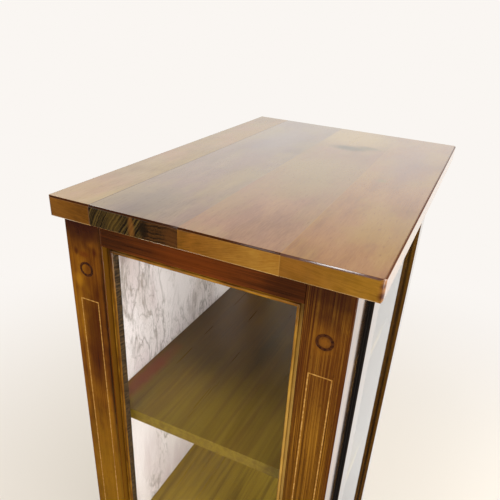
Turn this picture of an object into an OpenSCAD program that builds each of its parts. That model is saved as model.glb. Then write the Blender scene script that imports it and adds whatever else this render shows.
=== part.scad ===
// Glazed display cabinet in lacquered hardwood.
// X runs along the cabinet, -Y is the door side, +Z is up, and the origin is on the
// floor below the middle of the top.

/* [Overall] */
// Length of the top, end to end
top_len = 600; // [580:1:680]
// Depth of the top, front to back
top_depth = 400; // [390:1:440]
// Height over everything
cab_h = 1400; // [1380:1:1500]
// Overhang of the top past each end
end_overhang = 22.5; // [12:0.5:30]
// Overhang of the top past the front posts
front_overhang = 26; // [14:0.5:30]

/* [Top boards] */
// Thickness of the top boards
top_t = 26; // [22:1:32]
// Width of the board at the back
back_board_w = 62; // [50:0.5:80]
// Width of the board next to the back one
mid_back_board_w = 117.5; // [100:0.5:130]
// Width of the board next to the front one
mid_front_board_w = 117; // [100:0.5:130]
// Flat taken off the long and short edges of the top
top_ease = 2; // [0.5:0.25:3]
// Radius of the top's four upright corners
top_corner_r = 7; // [3:0.5:10]

/* [Posts and stiles] */
// Width of a post or stile on the end of the cabinet
post_end_w = 55; // [50:0.5:60]
// Width of a front post on the door side
post_front_w = 68; // [60:0.5:72]
// Thickness of the end frames, and so of the back stiles
end_frame_t = 28; // [26:0.5:34]
// Flat taken off the upright edges of posts and stiles
post_ease = 1; // [0.5:0.25:1.5]
// Height of a foot glide
glide_h = 5; // [3:0.5:8]
// Radius of a foot glide
glide_r = 12; // [9:0.5:13]

/* [Rails] */
// Height of the top rails
top_rail_h = 36; // [34:1:44]
// Height of the bottom rails
bottom_rail_h = 40; // [34:1:50]
// Clear height under the bottom rails
leg_h = 55; // [40:1:80]
// Step of the end rails behind the posts
end_rail_step = 0.5; // [0.5:0.25:2]
// Thickness of the front rails
front_rail_t = 24; // [22:0.5:26]
// Thickness of the back rails
back_rail_t = 22; // [20:0.5:24]
// Step of the back rails behind the back stiles
back_rail_step = 2; // [1:0.25:4]
// Thickness of the rail tenons
tenon_t = 9; // [7:0.5:10]
// Length of the tenons of the end and front rails
tenon_len = 20; // [12:0.5:24]
// Length of the tenons of the back rails
back_tenon_len = 14; // [8:0.5:16]
// Height of the shoulder above and below a tenon
tenon_shoulder = 8; // [7.5:0.5:10]
// Glue space round a tenon
tenon_fit = 0.2; // [0.1:0.05:0.3]

/* [Inlays] */
// Outer radius of a ring inlay
ring_r = 10.5; // [8:0.25:12]
// Inner radius of a ring inlay
ring_hole_r = 7; // [4:0.25:7.5]
// Depth of a ring's centre below the top rail's upper edge
ring_drop = 75; // [60:1:90]
// Depth of the string's upper end below the top rail's upper edge
string_drop = 120; // [110:1:140]
// Height of the string's lower end over the floor
string_bottom = 150; // [130:1:200]
// Width of an inlaid string
string_w = 1.5; // [1:0.25:2]
// Margin between a string and the edge of its post
string_margin = 13; // [11:0.5:16]
// Depth of the inlays
inlay_t = 1.5; // [1:0.25:2]
// Glue space round a ring
ring_fit = 0.05; // [0.02:0.01:0.1]
// Hairline gap where two strings or two beads meet
mitre_gap = 0.1; // [0.05:0.05:0.2]

/* [End glazing] */
// Width of the outer bead round an end pane
bead_w = 10; // [8:0.5:12]
// Depth of the outer bead
bead_t = 10; // [7:0.5:10]
// Width of the bead's round, next to the glass
bead_round_w = 4; // [3:0.25:5]
// Step of the bead's flat below its round
bead_flat_step = 2.5; // [1.5:0.25:3]
// Width of the quirk between the bead's flat and the frame
bead_quirk_w = 2; // [1:0.25:2.5]
// Depth of the quirk below the flat
bead_quirk_d = 2.5; // [1.5:0.25:3]
// Eased edge of the bead's flat along the quirk
bead_ease = 0.6; // [0.4:0.1:0.8]
// Step of the bead's face behind the post
bead_step = 6; // [4:0.5:7]
// Thickness of the glass
glass_t = 4; // [3:0.5:5]
// Size of the quarter-round bead behind the glass
quarter_bead = 7; // [5:0.5:7]
// Clearance between a pane's edge and its frame
glass_gap = 1; // [0.5:0.25:2]
// Width of the sealing strip between the bead and the glass
strip_w = 2; // [1.5:0.25:3]
// Distance from the bead's face down to the sealing strip's upper edge
strip_drop = 2; // [2:0.25:4]
// Height of the sealing strip's thin edge
strip_edge_h = 1; // [0.5:0.25:1.5]

/* [Back] */
// Distance of the lining's face from the back plane
lining_inset = 16; // [12:0.5:18]
// Thickness of the marble-faced lining
lining_t = 2; // [1:0.25:3]
// Thickness of the back panel
panel_t = 5; // [3:0.5:6]
// Depth of the groove that holds the back
groove_depth = 6; // [4:0.5:6.5]
// Clearance at the bottom of the groove
groove_gap = 0.5; // [0.25:0.25:1]

/* [Shelves] */
// Depth of the first shelf's upper face below the top's upper face
first_shelf_drop = 342; // [320:1:360]
// Distance from shelf to shelf
shelf_pitch = 328; // [310:1:345]
// Thickness of a shelf
shelf_t = 18; // [15:0.5:22]
// Thickness of the bottom board
bottom_board_t = 18; // [15:0.5:20]
// Step of the bottom board below the bottom rails' upper edge
bottom_board_step = 2; // [1:0.5:4]
// Side of the square cleats below the bottom board
cleat_size = 16; // [12:0.5:17]
// Clearance round a shelf
shelf_gap = 0.5; // [0.25:0.25:1]
// Distance from the door's back to the shelves' front edges
shelf_setback = 12; // [10:0.5:16]
// Flat taken off a shelf's front edges
shelf_ease = 1.5; // [0.5:0.25:3]
// Radius of a shelf pin
shelf_pin_r = 2.5; // [2:0.25:3]
// Length of a shelf pin in its hole
shelf_pin_seat = 10; // [8:0.5:14]
// Length of a shelf pin under the shelf
shelf_pin_reach = 9; // [7:0.5:12]
// Distance of the shelf pins from the inner edge of a post or stile
shelf_pin_edge = 15; // [10:0.5:18]

/* [Door] */
// Thickness of the door
door_t = 22; // [20:0.5:24]
// How far the door stands proud of the posts
door_proud = 6; // [4:0.5:7]
// Gap at each side of the door
door_side_gap = 2.5; // [2:0.25:3.5]
// Gap above and below the door
door_end_gap = 2; // [1.5:0.25:3]
// Width of the door's stiles
door_stile_w = 40; // [38:0.5:50]
// Height of the door's top rail
door_top_h = 40; // [36:1:50]
// Height of the door's bottom rail
door_bottom_h = 55; // [40:1:70]
// Thickness of the lip in front of the door's glass
door_lip = 8.5; // [7:0.5:9]
// Width of the rebate behind the lip
door_rebate = 8; // [7:0.5:10]
// Thickness of the door rails' tenons
door_tenon_t = 7; // [6:0.5:7.5]
// Length of the door rails' tenons
door_tenon_len = 22; // [16:0.5:24]
// Height of the shoulder outside a door tenon
door_shoulder = 10; // [10:0.5:12]
// Thickness of the dust strip on the closing edge
seal_t = 1.2; // [0.8:0.1:1.4]

/* [Door hardware] */
// Distance of the hinge line from the door's hinge edge
hinge_edge = 8; // [7.5:0.25:9]
// Distance of the hinge line behind the door's face
hinge_back = 5; // [4:0.25:5.5]
// Radius of a pivot pin
pivot_r = 2.5; // [2:0.25:2.75]
// Running clearance round a pivot pin
pivot_fit = 0.05; // [0.03:0.01:0.1]
// Thickness of a pivot plate
plate_t = 2.5; // [2:0.25:3]
// Width of a pivot plate
plate_w = 12; // [11:0.5:13]
// Length of a pivot plate
plate_len = 34; // [32:0.5:36]
// Length of a hinge screw
screw_len = 8; // [6:0.5:9]
// Radius of a hinge screw's shank
screw_r = 1.5; // [1.25:0.25:1.75]
// Height of the knob over the middle shelf
knob_rise = 30; // [20:1:45]
// Largest radius of the knob
knob_r = 14; // [11:0.5:16]
// Length of the knob
knob_len = 20; // [16:0.5:20]
// Radius of the knob's screw
knob_screw_r = 2; // [1.5:0.25:2.5]
// Height of the magnetic catch's lower end over the middle shelf
catch_rise = 70; // [60:1:130]
// Length of the magnetic catch
catch_len = 44; // [36:1:50]

/* [Hidden] */
$fn = 48;

// Main planes of the carcass
under_top = cab_h - top_t;
end_x = top_len / 2 - end_overhang;
front_y = front_overhang - top_depth / 2;
back_y = top_depth / 2;
post_in_x = end_x - post_front_w;
stile_in_x = end_x - end_frame_t;
front_post_in_y = front_y + post_end_w;
stile_in_y = back_y - post_end_w;

// Rails
top_rail_z = under_top - top_rail_h;
bottom_rail_top = leg_h + bottom_rail_h;
end_rail_t = end_frame_t - end_rail_step;
end_rail_x = stile_in_x + end_rail_t / 2;
end_open_w = stile_in_y - front_post_in_y;
end_mid_y = (stile_in_y + front_post_in_y) / 2;
front_rail_y = front_y + front_rail_t / 2;
back_rail_y = back_y - back_rail_step - back_rail_t / 2;
glazed_h = top_rail_z - bottom_rail_top;
glazed_mid_z = (top_rail_z + bottom_rail_top) / 2;

// End glazing, counted inwards from the end plane
pane_out_x = end_x - bead_step - bead_t;
pane_in_x = pane_out_x - glass_t;

// Centres of posts and stiles in plan
post_mid_x = end_x - post_front_w / 2;
post_mid_y = front_y + post_end_w / 2;
stile_mid_x = end_x - end_frame_t / 2;
stile_mid_y = back_y - post_end_w / 2;

// Inlays
ring_z = under_top - ring_drop;
string_top = under_top - string_drop;
end_string_w = post_end_w - 2 * string_margin;
front_string_w = post_front_w - 2 * string_margin;

// Back and shelves
lining_y = back_y - lining_inset;
back_groove_w = lining_t + panel_t;
bottom_board_top = bottom_rail_top - bottom_board_step;
shelf_tops = [for (i = [0:2]) cab_h - first_shelf_drop - i * shelf_pitch];

// Door
door_x = post_in_x - door_side_gap;
door_y = front_y - door_proud;
door_back_y = door_y + door_t;
door_z = bottom_rail_top + door_end_gap;
door_top_z = top_rail_z - door_end_gap;
door_light_x = door_x - door_stile_w;
pocket_x = door_light_x + door_rebate;
pocket_z = door_z + door_bottom_h - door_rebate;
pocket_top_z = door_top_z - door_top_h + door_rebate;
pane_front_y = door_y + door_lip;
pane_back_y = pane_front_y + glass_t;
door_tenon_y = door_y + door_t / 2;
door_tenon_fit = 0.2;
shelf_front_y = door_back_y + shelf_setback;

// Hinge line and plates
hinge_x = door_x - hinge_edge;
hinge_y = door_y + hinge_back;
eye_r = pivot_r + 2;
plate_past_pin = hinge_edge - 1;
plate_start_x = hinge_x + plate_past_pin - plate_len;
pin_end_gap = 0.3;
washer_gap = 0.1;
door_plate_edge = 1.5;
screw_head_r = 2 * screw_r;
screw_steps = [10, 21];
screw_fit = 0.05;

// Small fittings
knob_z = shelf_tops[1] + knob_rise;
catch_z = shelf_tops[1] + catch_rise;
dowel_r = 4;
dowel_half = 15;
dowel_fit = 0.05;
dowel_end_gap = 1;
glide_pin_r = 1.5;
glide_pin_len = 15;
pin_fit = 0.05;
pin_hole_extra = 0.5;
stop_size = 12;
stop_left_x = post_in_x - 10;
stop_right_x = hinge_x - 30;
rest_gap = 0.3;
catch_w = 12;
catch_d = 18;
magnet_w = 6;
magnet_d = 8;
magnet_margin = 6;
strike_t = 1.5;
strike_w = 12;
strike_margin = 2;
knob_x = door_x - door_stile_w / 2;
knob_screw_head_r = 4.5;
knob_screw_head_t = 2.5;
knob_screw_reach = 10;
past = 1;
mitre_h = 40;

// Colours
top_back_color = "#8a5a1e";
top_mid_back_color = "#4f3413";
top_mid_front_color = "#a5701f";
top_front_color = "#96651c";
post_color = "#70440f";
rail_color = "#55300c";
bead_color = "#9a6b22";
string_color = "#c39350";
ring_color = "#3c2008";
strip_color = "#565048";
shelf_color = "#4a3520";
lining_color = "#d9d0ce";
glass_color = [0.8, 0.88, 0.86, 0.35];
brass_color = "#b08d4c";
steel_color = "#b4b4b2";
dark_color = "#1b1713";

// Shared shapes

// A box between two opposite corners
module block(low, high) {
  translate(low) cube(high - low);
}

// The right-hand piece as drawn, or its mirror image on the left
module on_side(side) {
  if (side > 0) children();
  else mirror([1, 0, 0]) children();
}

// Outline of a rectangle with its corners cut off at 45 degrees
function eased_rect(x0, x1, y0, y1, e) = [
  [x0 + e, y0], [x1 - e, y0], [x1, y0 + e], [x1, y1 - e],
  [x1 - e, y1], [x0 + e, y1], [x0, y1 - e], [x0, y0 + e]
];

// An outline drawn in Y and Z, run along X
module along_x(x0, x1, outline) {
  translate([x0, 0, 0]) rotate([90, 0, 90]) linear_extrude(x1 - x0) polygon(outline);
}

// An outline drawn in X and Z, run along Y
module along_y(y0, y1, outline) {
  translate([0, y1, 0]) rotate([90, 0, 0]) linear_extrude(y1 - y0) polygon(outline);
}

// The long bar that a rail's two tenons are the ends of, run along X, and the
// same bar with its glue space as the cutter for the mortises
module tenon_bar(len, h, reach, fit) {
  translate([-len / 2 - reach - fit, -tenon_t / 2 - fit, tenon_shoulder - fit])
    cube([len + 2 * (reach + fit), tenon_t + 2 * fit, h - 2 * tenon_shoulder + 2 * fit]);
}

module rail(len, h, t, reach) {
  translate([-len / 2, -t / 2, 0]) cube([len, t, h]);
  tenon_bar(len, h, reach, 0);
}

// Places of the rails
module at_end_rail(z) {
  translate([end_rail_x, end_mid_y, z]) rotate([0, 0, 90]) children();
}

module at_front_rail(z) {
  translate([0, front_rail_y, z]) children();
}

module at_back_rail(z) {
  translate([0, back_rail_y, z]) children();
}

module end_mortises() {
  at_end_rail(top_rail_z) tenon_bar(end_open_w, top_rail_h, tenon_len, tenon_fit);
  at_end_rail(leg_h) tenon_bar(end_open_w, bottom_rail_h, tenon_len, tenon_fit);
}

module front_mortises() {
  at_front_rail(top_rail_z) tenon_bar(2 * post_in_x, top_rail_h, tenon_len, tenon_fit);
  at_front_rail(leg_h) tenon_bar(2 * post_in_x, bottom_rail_h, tenon_len, tenon_fit);
}

module back_mortises() {
  at_back_rail(top_rail_z) tenon_bar(2 * stile_in_x, top_rail_h, back_tenon_len, tenon_fit);
  at_back_rail(leg_h) tenon_bar(2 * stile_in_x, bottom_rail_h, back_tenon_len, tenon_fit);
}

// Inlay shapes, drawn flat with the face at Z = 0 and the wood below it

module string_sides(w, fit) {
  len = string_top - string_bottom;
  for (x = [-w / 2, w / 2 - string_w])
    translate([x, string_bottom, -inlay_t]) cube([string_w, len, inlay_t + fit]);
}

module string_ends(w, fit, gap) {
  for (y = [string_bottom, string_top - string_w])
    translate([string_w + gap - w / 2, y, -inlay_t])
      cube([w - 2 * string_w - 2 * gap, string_w, inlay_t + fit]);
}

module ring(fit, above) {
  translate([0, ring_z, -inlay_t]) difference() {
    cylinder(h = inlay_t + above, r = ring_r + fit);
    translate([0, 0, -past]) cylinder(h = inlay_t + above + 2 * past, r = ring_hole_r - fit);
  }
}

module inlay_recess(w) {
  string_sides(w, past);
  string_ends(w, past, 0);
  ring(ring_fit, past);
}

// Faces that carry inlays, on the right-hand side
module on_end_face(y) {
  translate([end_x, y, 0]) rotate([90, 0, 90]) children();
}

module on_front_face() {
  translate([post_mid_x, front_y, 0]) rotate([90, 0, 0]) children();
}

// Top

module top_outline() {
  x = top_len / 2 - top_corner_r;
  y = top_depth / 2 - top_corner_r;
  square([2 * x, top_depth], center = true);
  square([top_len, 2 * y], center = true);
  for (sx = [-1, 1], sy = [-1, 1]) translate([sx * x, sy * y]) circle(top_corner_r);
}

module top_slab() {
  half_len = top_len / 2;
  half_depth = top_depth / 2;
  intersection() {
    translate([0, 0, under_top]) linear_extrude(top_t) top_outline();
    along_x(-half_len, half_len, eased_rect(-half_depth, half_depth, under_top, cab_h, top_ease));
    along_y(-half_depth, half_depth, eased_rect(-half_len, half_len, under_top, cab_h, top_ease));
  }
}

back_joint_y = back_y - back_board_w;
mid_joint_y = back_joint_y - mid_back_board_w;
front_joint_y = mid_joint_y - mid_front_board_w;

module dowel_bars(r, half) {
  for (side = [-1, 1], p = [[post_mid_x, post_mid_y], [stile_mid_x, stile_mid_y]])
    translate([side * p.x, p.y, under_top - half]) cylinder(h = 2 * half, r = r);
}

module top_board(y0, y1) {
  half_len = top_len / 2 + past;
  difference() {
    intersection() {
      top_slab();
      block([-half_len, y0, under_top - past], [half_len, y1, cab_h + past]);
    }
    dowel_bars(dowel_r + dowel_fit, dowel_half + dowel_end_gap);
  }
}

module top_board_front() color(top_front_color)
  top_board(-top_depth / 2 - past, front_joint_y);
module top_board_mid_front() color(top_mid_front_color)
  top_board(front_joint_y, mid_joint_y);
module top_board_mid_back() color(top_mid_back_color)
  top_board(mid_joint_y, back_joint_y);
module top_board_back() color(top_back_color)
  top_board(back_joint_y, back_y + past);
module top_dowels() color(string_color) dowel_bars(dowel_r, dowel_half);

// Posts and stiles

module glide_pins(r, extra) {
  for (side = [-1, 1], p = [[post_mid_x, post_mid_y], [stile_mid_x, stile_mid_y]])
    translate([side * p.x, p.y, glide_h - past])
      cylinder(h = glide_pin_len + past + extra, r = r);
}

module shelf_pin_set(r, seat, reach) {
  for (z = shelf_tops, side = [-1, 1]) translate([0, 0, z - shelf_t - shelf_pin_r]) {
    on_side(side) translate([post_in_x - reach, front_post_in_y - shelf_pin_edge, 0])
      rotate([0, 90, 0]) cylinder(h = seat + reach, r = r);
    on_side(side) translate([stile_in_x - reach, stile_in_y + shelf_pin_edge, 0])
      rotate([0, 90, 0]) cylinder(h = seat + reach, r = r);
  }
}

module upright_cuts() {
  end_mortises();
  dowel_bars(dowel_r + dowel_fit, dowel_half + dowel_end_gap);
  glide_pins(glide_pin_r + pin_fit, pin_hole_extra);
  shelf_pin_set(shelf_pin_r + pin_fit, shelf_pin_seat + pin_hole_extra, past);
}

module front_post(side) color(post_color) on_side(side) difference() {
  translate([0, 0, glide_h]) linear_extrude(under_top - glide_h)
    polygon(eased_rect(post_in_x, end_x, front_y, front_post_in_y, post_ease));
  upright_cuts();
  front_mortises();
  on_end_face(post_mid_y) inlay_recess(end_string_w);
  on_front_face() inlay_recess(front_string_w);
}

module back_groove() {
  block([-stile_in_x - groove_depth, lining_y, bottom_rail_top - groove_depth],
        [stile_in_x + groove_depth, lining_y + back_groove_w, top_rail_z + groove_depth]);
}

module back_stile(side) color(post_color) on_side(side) difference() {
  translate([0, 0, glide_h]) linear_extrude(under_top - glide_h)
    polygon(eased_rect(stile_in_x, end_x, stile_in_y, back_y, post_ease));
  upright_cuts();
  back_mortises();
  back_groove();
  on_end_face(stile_mid_y) inlay_recess(end_string_w);
}

module post_front_left() front_post(-1);
module post_front_right() front_post(1);
module stile_back_left() back_stile(-1);
module stile_back_right() back_stile(1);

module ring_inlays() color(ring_color) for (side = [-1, 1]) on_side(side) {
  on_end_face(post_mid_y) ring(0, 0);
  on_end_face(stile_mid_y) ring(0, 0);
  on_front_face() ring(0, 0);
}

module string_inlay(w) {
  string_sides(w, 0);
  string_ends(w, 0, mitre_gap);
}

module string_inlays() color(string_color) for (side = [-1, 1]) on_side(side) {
  on_end_face(post_mid_y) string_inlay(end_string_w);
  on_end_face(stile_mid_y) string_inlay(end_string_w);
  on_front_face() string_inlay(front_string_w);
}

module foot_glides() color(dark_color) {
  for (side = [-1, 1], p = [[post_mid_x, post_mid_y], [stile_mid_x, stile_mid_y]])
    translate([side * p.x, p.y, 0]) cylinder(h = glide_h, r = glide_r);
  glide_pins(glide_pin_r, 0);
}

// Rails

module end_rail(side, z, h) color(rail_color) on_side(side)
  at_end_rail(z) rail(end_open_w, h, end_rail_t, tenon_len);

module rail_top_left() end_rail(-1, top_rail_z, top_rail_h);
module rail_top_right() end_rail(1, top_rail_z, top_rail_h);
module rail_bottom_left() end_rail(-1, leg_h, bottom_rail_h);
module rail_bottom_right() end_rail(1, leg_h, bottom_rail_h);

module rail_top_front() color(rail_color) difference() {
  at_front_rail(top_rail_z) rail(2 * post_in_x, top_rail_h, front_rail_t, tenon_len);
  translate([0, 0, top_rail_z]) fixed_plate_seat();
  translate([0, 0, top_rail_z]) screw_row(front_y + plate_w / 2, 1, screw_fit);
}

module rail_bottom_front() color(rail_color) difference() {
  at_front_rail(leg_h) rail(2 * post_in_x, bottom_rail_h, front_rail_t, tenon_len);
  translate([0, 0, bottom_rail_top]) mirror([0, 0, 1]) {
    fixed_plate_seat();
    screw_row(front_y + plate_w / 2, 1, screw_fit);
  }
}

module rail_top_back() color(rail_color) difference() {
  at_back_rail(top_rail_z) rail(2 * stile_in_x, top_rail_h, back_rail_t, back_tenon_len);
  back_groove();
}

module rail_bottom_back() color(rail_color) difference() {
  at_back_rail(leg_h) rail(2 * stile_in_x, bottom_rail_h, back_rail_t, back_tenon_len);
  back_groove();
}

// Glazing beads, drawn with the frame flat in X and Y and its face up

// Moulding of the outer bead: a round next to the glass, a flat, and a quirk along the frame
bead_round_r = bead_round_w / 2;
bead_flat_h = bead_t - bead_flat_step;
outer_bead = concat(
  [[0, 0], [bead_w, 0]],
  [for (i = [0:8])
    [bead_w - bead_round_r * (1 - cos(i * 22.5)), bead_t - bead_round_r * (1 - sin(i * 22.5))]],
  [
    [bead_w - bead_round_w, bead_flat_h], [bead_quirk_w + bead_ease, bead_flat_h],
    [bead_quirk_w, bead_flat_h - bead_ease], [bead_quirk_w, bead_flat_h - bead_quirk_d],
    [0, bead_flat_h - bead_quirk_d]
  ]
);
sealing_wedge = [[0, 0], [strip_w, 0], [strip_w, strip_edge_h], [0, bead_t - strip_drop]];

// Quarter round, thick against the frame and thin on the glass
function quarter_round(w, t) = concat(
  [[0, 0]],
  [for (i = [0:6]) [w * cos(i * 15), t * sin(i * 15)]]
);

module mitred_strip(len, w, outline) intersection() {
  rotate([90, 0, 90]) linear_extrude(len) polygon(outline);
  linear_extrude(mitre_h)
    polygon([[mitre_gap, 0], [len - mitre_gap, 0], [len - w - mitre_gap, w], [w + mitre_gap, w]]);
}

module bead_frame(frame_w, frame_h, w, outline) for (turn = [0, 180]) {
  rotate(turn) translate([-frame_w / 2, -frame_h / 2, 0]) mitred_strip(frame_w, w, outline);
  rotate(turn + 90) translate([-frame_h / 2, -frame_w / 2, 0]) mitred_strip(frame_h, w, outline);
}

module outer_beads(side) color(bead_color) on_side(side)
  translate([pane_out_x, end_mid_y, glazed_mid_z]) rotate([90, 0, 90])
    bead_frame(end_open_w, glazed_h, bead_w, outer_bead);

module inner_beads(side) color(rail_color) on_side(side)
  translate([pane_in_x, end_mid_y, glazed_mid_z]) rotate([90, 0, -90])
    bead_frame(end_open_w, glazed_h, quarter_bead, quarter_round(quarter_bead, quarter_bead));

module sealing_strips(side) color(strip_color) on_side(side)
  translate([pane_out_x, end_mid_y, glazed_mid_z]) rotate([90, 0, 90])
    bead_frame(end_open_w - 2 * bead_w, glazed_h - 2 * bead_w, strip_w, sealing_wedge);

module outer_beads_left() outer_beads(-1);
module outer_beads_right() outer_beads(1);
module inner_beads_left() inner_beads(-1);
module inner_beads_right() inner_beads(1);
module sealing_strips_left() sealing_strips(-1);
module sealing_strips_right() sealing_strips(1);

module end_pane(side) color(glass_color) on_side(side)
  block([pane_in_x, front_post_in_y + glass_gap, bottom_rail_top + glass_gap],
        [pane_out_x, stile_in_y - glass_gap, top_rail_z - glass_gap]);

module glass_left() end_pane(-1);
module glass_right() end_pane(1);

// Back

module back_sheet(y0, y1) {
  x = stile_in_x + groove_depth - groove_gap;
  z_reach = groove_depth - groove_gap;
  block([-x, y0, bottom_rail_top - z_reach], [x, y1, top_rail_z + z_reach]);
}

module marble_lining() color(lining_color) back_sheet(lining_y, lining_y + lining_t);
module back_panel() color(shelf_color)
  back_sheet(lining_y + lining_t, lining_y + back_groove_w);

// Bottom board and shelves, notched round the front posts

function board_outline(y0, y1) =
  let (wide = stile_in_x - shelf_gap)
  let (narrow = post_in_x - shelf_gap)
  let (notch_y = front_post_in_y + shelf_gap)
  [
    [-narrow, y0], [narrow, y0], [narrow, notch_y], [wide, notch_y],
    [wide, y1], [-wide, y1], [-wide, notch_y], [-narrow, notch_y]
  ];

module bottom_board() color(shelf_color)
  translate([0, 0, bottom_board_top - bottom_board_t]) linear_extrude(bottom_board_t)
    polygon(board_outline(front_y + front_rail_t + shelf_gap,
                          back_y - back_rail_step - back_rail_t - shelf_gap));

module bottom_cleats() color(rail_color) for (side = [-1, 1]) on_side(side)
  block([stile_in_x - cleat_size, front_post_in_y + glass_gap,
         bottom_board_top - bottom_board_t - cleat_size],
        [stile_in_x, stile_in_y - glass_gap, bottom_board_top - bottom_board_t]);

module shelf(index) color(shelf_color) {
  z = shelf_tops[index];
  y1 = lining_y - shelf_gap;
  e = shelf_ease;
  edge = [
    [shelf_front_y + e, z - shelf_t], [y1, z - shelf_t], [y1, z],
    [shelf_front_y + e, z], [shelf_front_y, z - e], [shelf_front_y, z - shelf_t + e]
  ];
  intersection() {
    translate([0, 0, z - shelf_t]) linear_extrude(shelf_t)
      polygon(board_outline(shelf_front_y, y1));
    along_x(-end_x, end_x, edge);
  }
}

module shelf_upper() shelf(0);
module shelf_middle() shelf(1);
module shelf_lower() shelf(2);
module shelf_pins() color(brass_color)
  shelf_pin_set(shelf_pin_r, shelf_pin_seat, shelf_pin_reach);

// Stop and catch

module door_stop() color(rail_color)
  block([-stop_left_x, door_back_y + rest_gap, top_rail_z - stop_size],
        [stop_right_x, front_y + front_rail_t, top_rail_z]);

catch_y = door_back_y + strike_t + rest_gap;

module catch_pocket() {
  block([-post_in_x + (catch_w - magnet_w) / 2, catch_y, catch_z + magnet_margin],
        [-post_in_x + (catch_w + magnet_w) / 2, catch_y + magnet_d,
         catch_z + catch_len - magnet_margin]);
}

module magnetic_catch() color(dark_color) difference() {
  block([-post_in_x, catch_y, catch_z], [-post_in_x + catch_w, catch_y + catch_d, catch_z + catch_len]);
  catch_pocket();
}

module catch_magnet() color(steel_color) catch_pocket();

module strike_plate() color(steel_color)
  block([-door_x + 1, door_back_y, catch_z + strike_margin],
        [-door_x + 1 + strike_w, door_back_y + strike_t, catch_z + catch_len - strike_margin]);

// Pivot hinges: a plate let into the frame and one let into the door at each end

module csk_screw(fit) {
  head_t = screw_head_r - screw_r;
  cylinder(h = screw_len + fit, r = screw_r + fit);
  cylinder(h = head_t, r1 = screw_head_r + fit, r2 = screw_r + fit);
}

// Two screws with their heads at Z = 0 and their points up, or down where up is -1
module screw_row(y, up, fit) {
  for (step = screw_steps) translate([hinge_x - step, y, 0])
    mirror([0, 0, up > 0 ? 0 : 1]) csk_screw(fit);
}

module fixed_plate_outline() {
  translate([plate_start_x, front_y]) square([plate_len, plate_w]);
  translate([hinge_x, hinge_y]) circle(eye_r);
}

module fixed_plate_seat() {
  linear_extrude(plate_t) fixed_plate_outline();
}

module door_plate_seat() {
  translate([plate_start_x, door_y + door_plate_edge, 0]) cube([plate_len, plate_w, plate_t]);
}

module pivot_hole() {
  translate([hinge_x, hinge_y, -past]) cylinder(h = plate_t + 2 * past, r = pivot_r + pivot_fit);
}

module pivot_pin() {
  translate([hinge_x, hinge_y, 0])
    cylinder(h = 2 * plate_t + door_end_gap - pin_end_gap, r = pivot_r);
}

module pivot_plate_top() color(brass_color) translate([0, 0, top_rail_z]) difference() {
  fixed_plate_seat();
  pivot_hole();
  screw_row(front_y + plate_w / 2, 1, screw_fit);
}

module pivot_plate_bottom() color(brass_color) translate([0, 0, bottom_rail_top - plate_t]) {
  difference() {
    fixed_plate_seat();
    translate([0, 0, plate_t]) screw_row(front_y + plate_w / 2, -1, screw_fit);
  }
  pivot_pin();
}

module door_plate_top() color(brass_color) translate([0, 0, door_top_z - plate_t]) {
  difference() {
    door_plate_seat();
    translate([0, 0, plate_t]) screw_row(door_y + door_plate_edge + plate_w / 2, -1, screw_fit);
  }
  pivot_pin();
}

module door_plate_bottom() color(brass_color) translate([0, 0, door_z]) difference() {
  door_plate_seat();
  pivot_hole();
  screw_row(door_y + door_plate_edge + plate_w / 2, 1, screw_fit);
}

module pivot_washer() color(brass_color) translate([hinge_x, hinge_y, bottom_rail_top])
  difference() {
    cylinder(h = door_end_gap - washer_gap, r = eye_r);
    translate([0, 0, -past]) cylinder(h = door_end_gap + 2 * past, r = pivot_r + pivot_fit);
  }

module frame_screws() color(brass_color) {
  translate([0, 0, top_rail_z]) screw_row(front_y + plate_w / 2, 1, 0);
  translate([0, 0, bottom_rail_top]) screw_row(front_y + plate_w / 2, -1, 0);
}

module door_screws() color(brass_color) {
  y = door_y + door_plate_edge + plate_w / 2;
  translate([0, 0, door_top_z]) screw_row(y, -1, 0);
  translate([0, 0, door_z]) screw_row(y, 1, 0);
}

// Door

module door_pocket() {
  block([-pocket_x, pane_front_y, pocket_z], [pocket_x, door_back_y + past, pocket_top_z]);
}

// The bar whose ends are a door rail's tenons
module door_tenon_bar(z0, z1, fit) {
  x = door_light_x + door_tenon_len + fit;
  block([-x, door_tenon_y - door_tenon_t / 2 - fit, z0 - fit],
        [x, door_tenon_y + door_tenon_t / 2 + fit, z1 + fit]);
}

module bottom_tenons(fit) {
  door_tenon_bar(door_z + door_shoulder, pocket_z - door_tenon_fit, fit);
}

module top_tenons(fit) {
  door_tenon_bar(pocket_top_z + door_tenon_fit, door_top_z - door_shoulder, fit);
}

module knob_screw_hole() {
  translate([-knob_x, door_y - past, knob_z]) rotate([-90, 0, 0])
    cylinder(h = door_t + 2 * past, r = knob_screw_r + door_tenon_fit);
}

module door_stile(side) color(post_color) difference() {
  on_side(side) difference() {
    block([door_light_x, door_y, door_z], [door_x, door_back_y, door_top_z]);
    door_pocket();
    bottom_tenons(door_tenon_fit);
    top_tenons(door_tenon_fit);
  }
  knob_screw_hole();
  translate([0, 0, door_top_z - plate_t]) door_plate_seat();
  translate([0, 0, door_z]) door_plate_seat();
  translate([0, 0, door_top_z])
    screw_row(door_y + door_plate_edge + plate_w / 2, -1, screw_fit);
  translate([0, 0, door_z])
    screw_row(door_y + door_plate_edge + plate_w / 2, 1, screw_fit);
}

module door_stile_left() door_stile(-1);
module door_stile_right() door_stile(1);

module door_rail_top() color(post_color) {
  difference() {
    block([-door_light_x, door_y, door_top_z - door_top_h], [door_light_x, door_back_y, door_top_z]);
    door_pocket();
  }
  top_tenons(0);
}

module door_rail_bottom() color(post_color) {
  difference() {
    block([-door_light_x, door_y, door_z], [door_light_x, door_back_y, door_z + door_bottom_h]);
    door_pocket();
  }
  bottom_tenons(0);
}

module door_glass() color(glass_color)
  block([-pocket_x + glass_gap, pane_front_y, pocket_z + glass_gap],
        [pocket_x - glass_gap, pane_back_y, pocket_top_z - glass_gap]);

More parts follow.
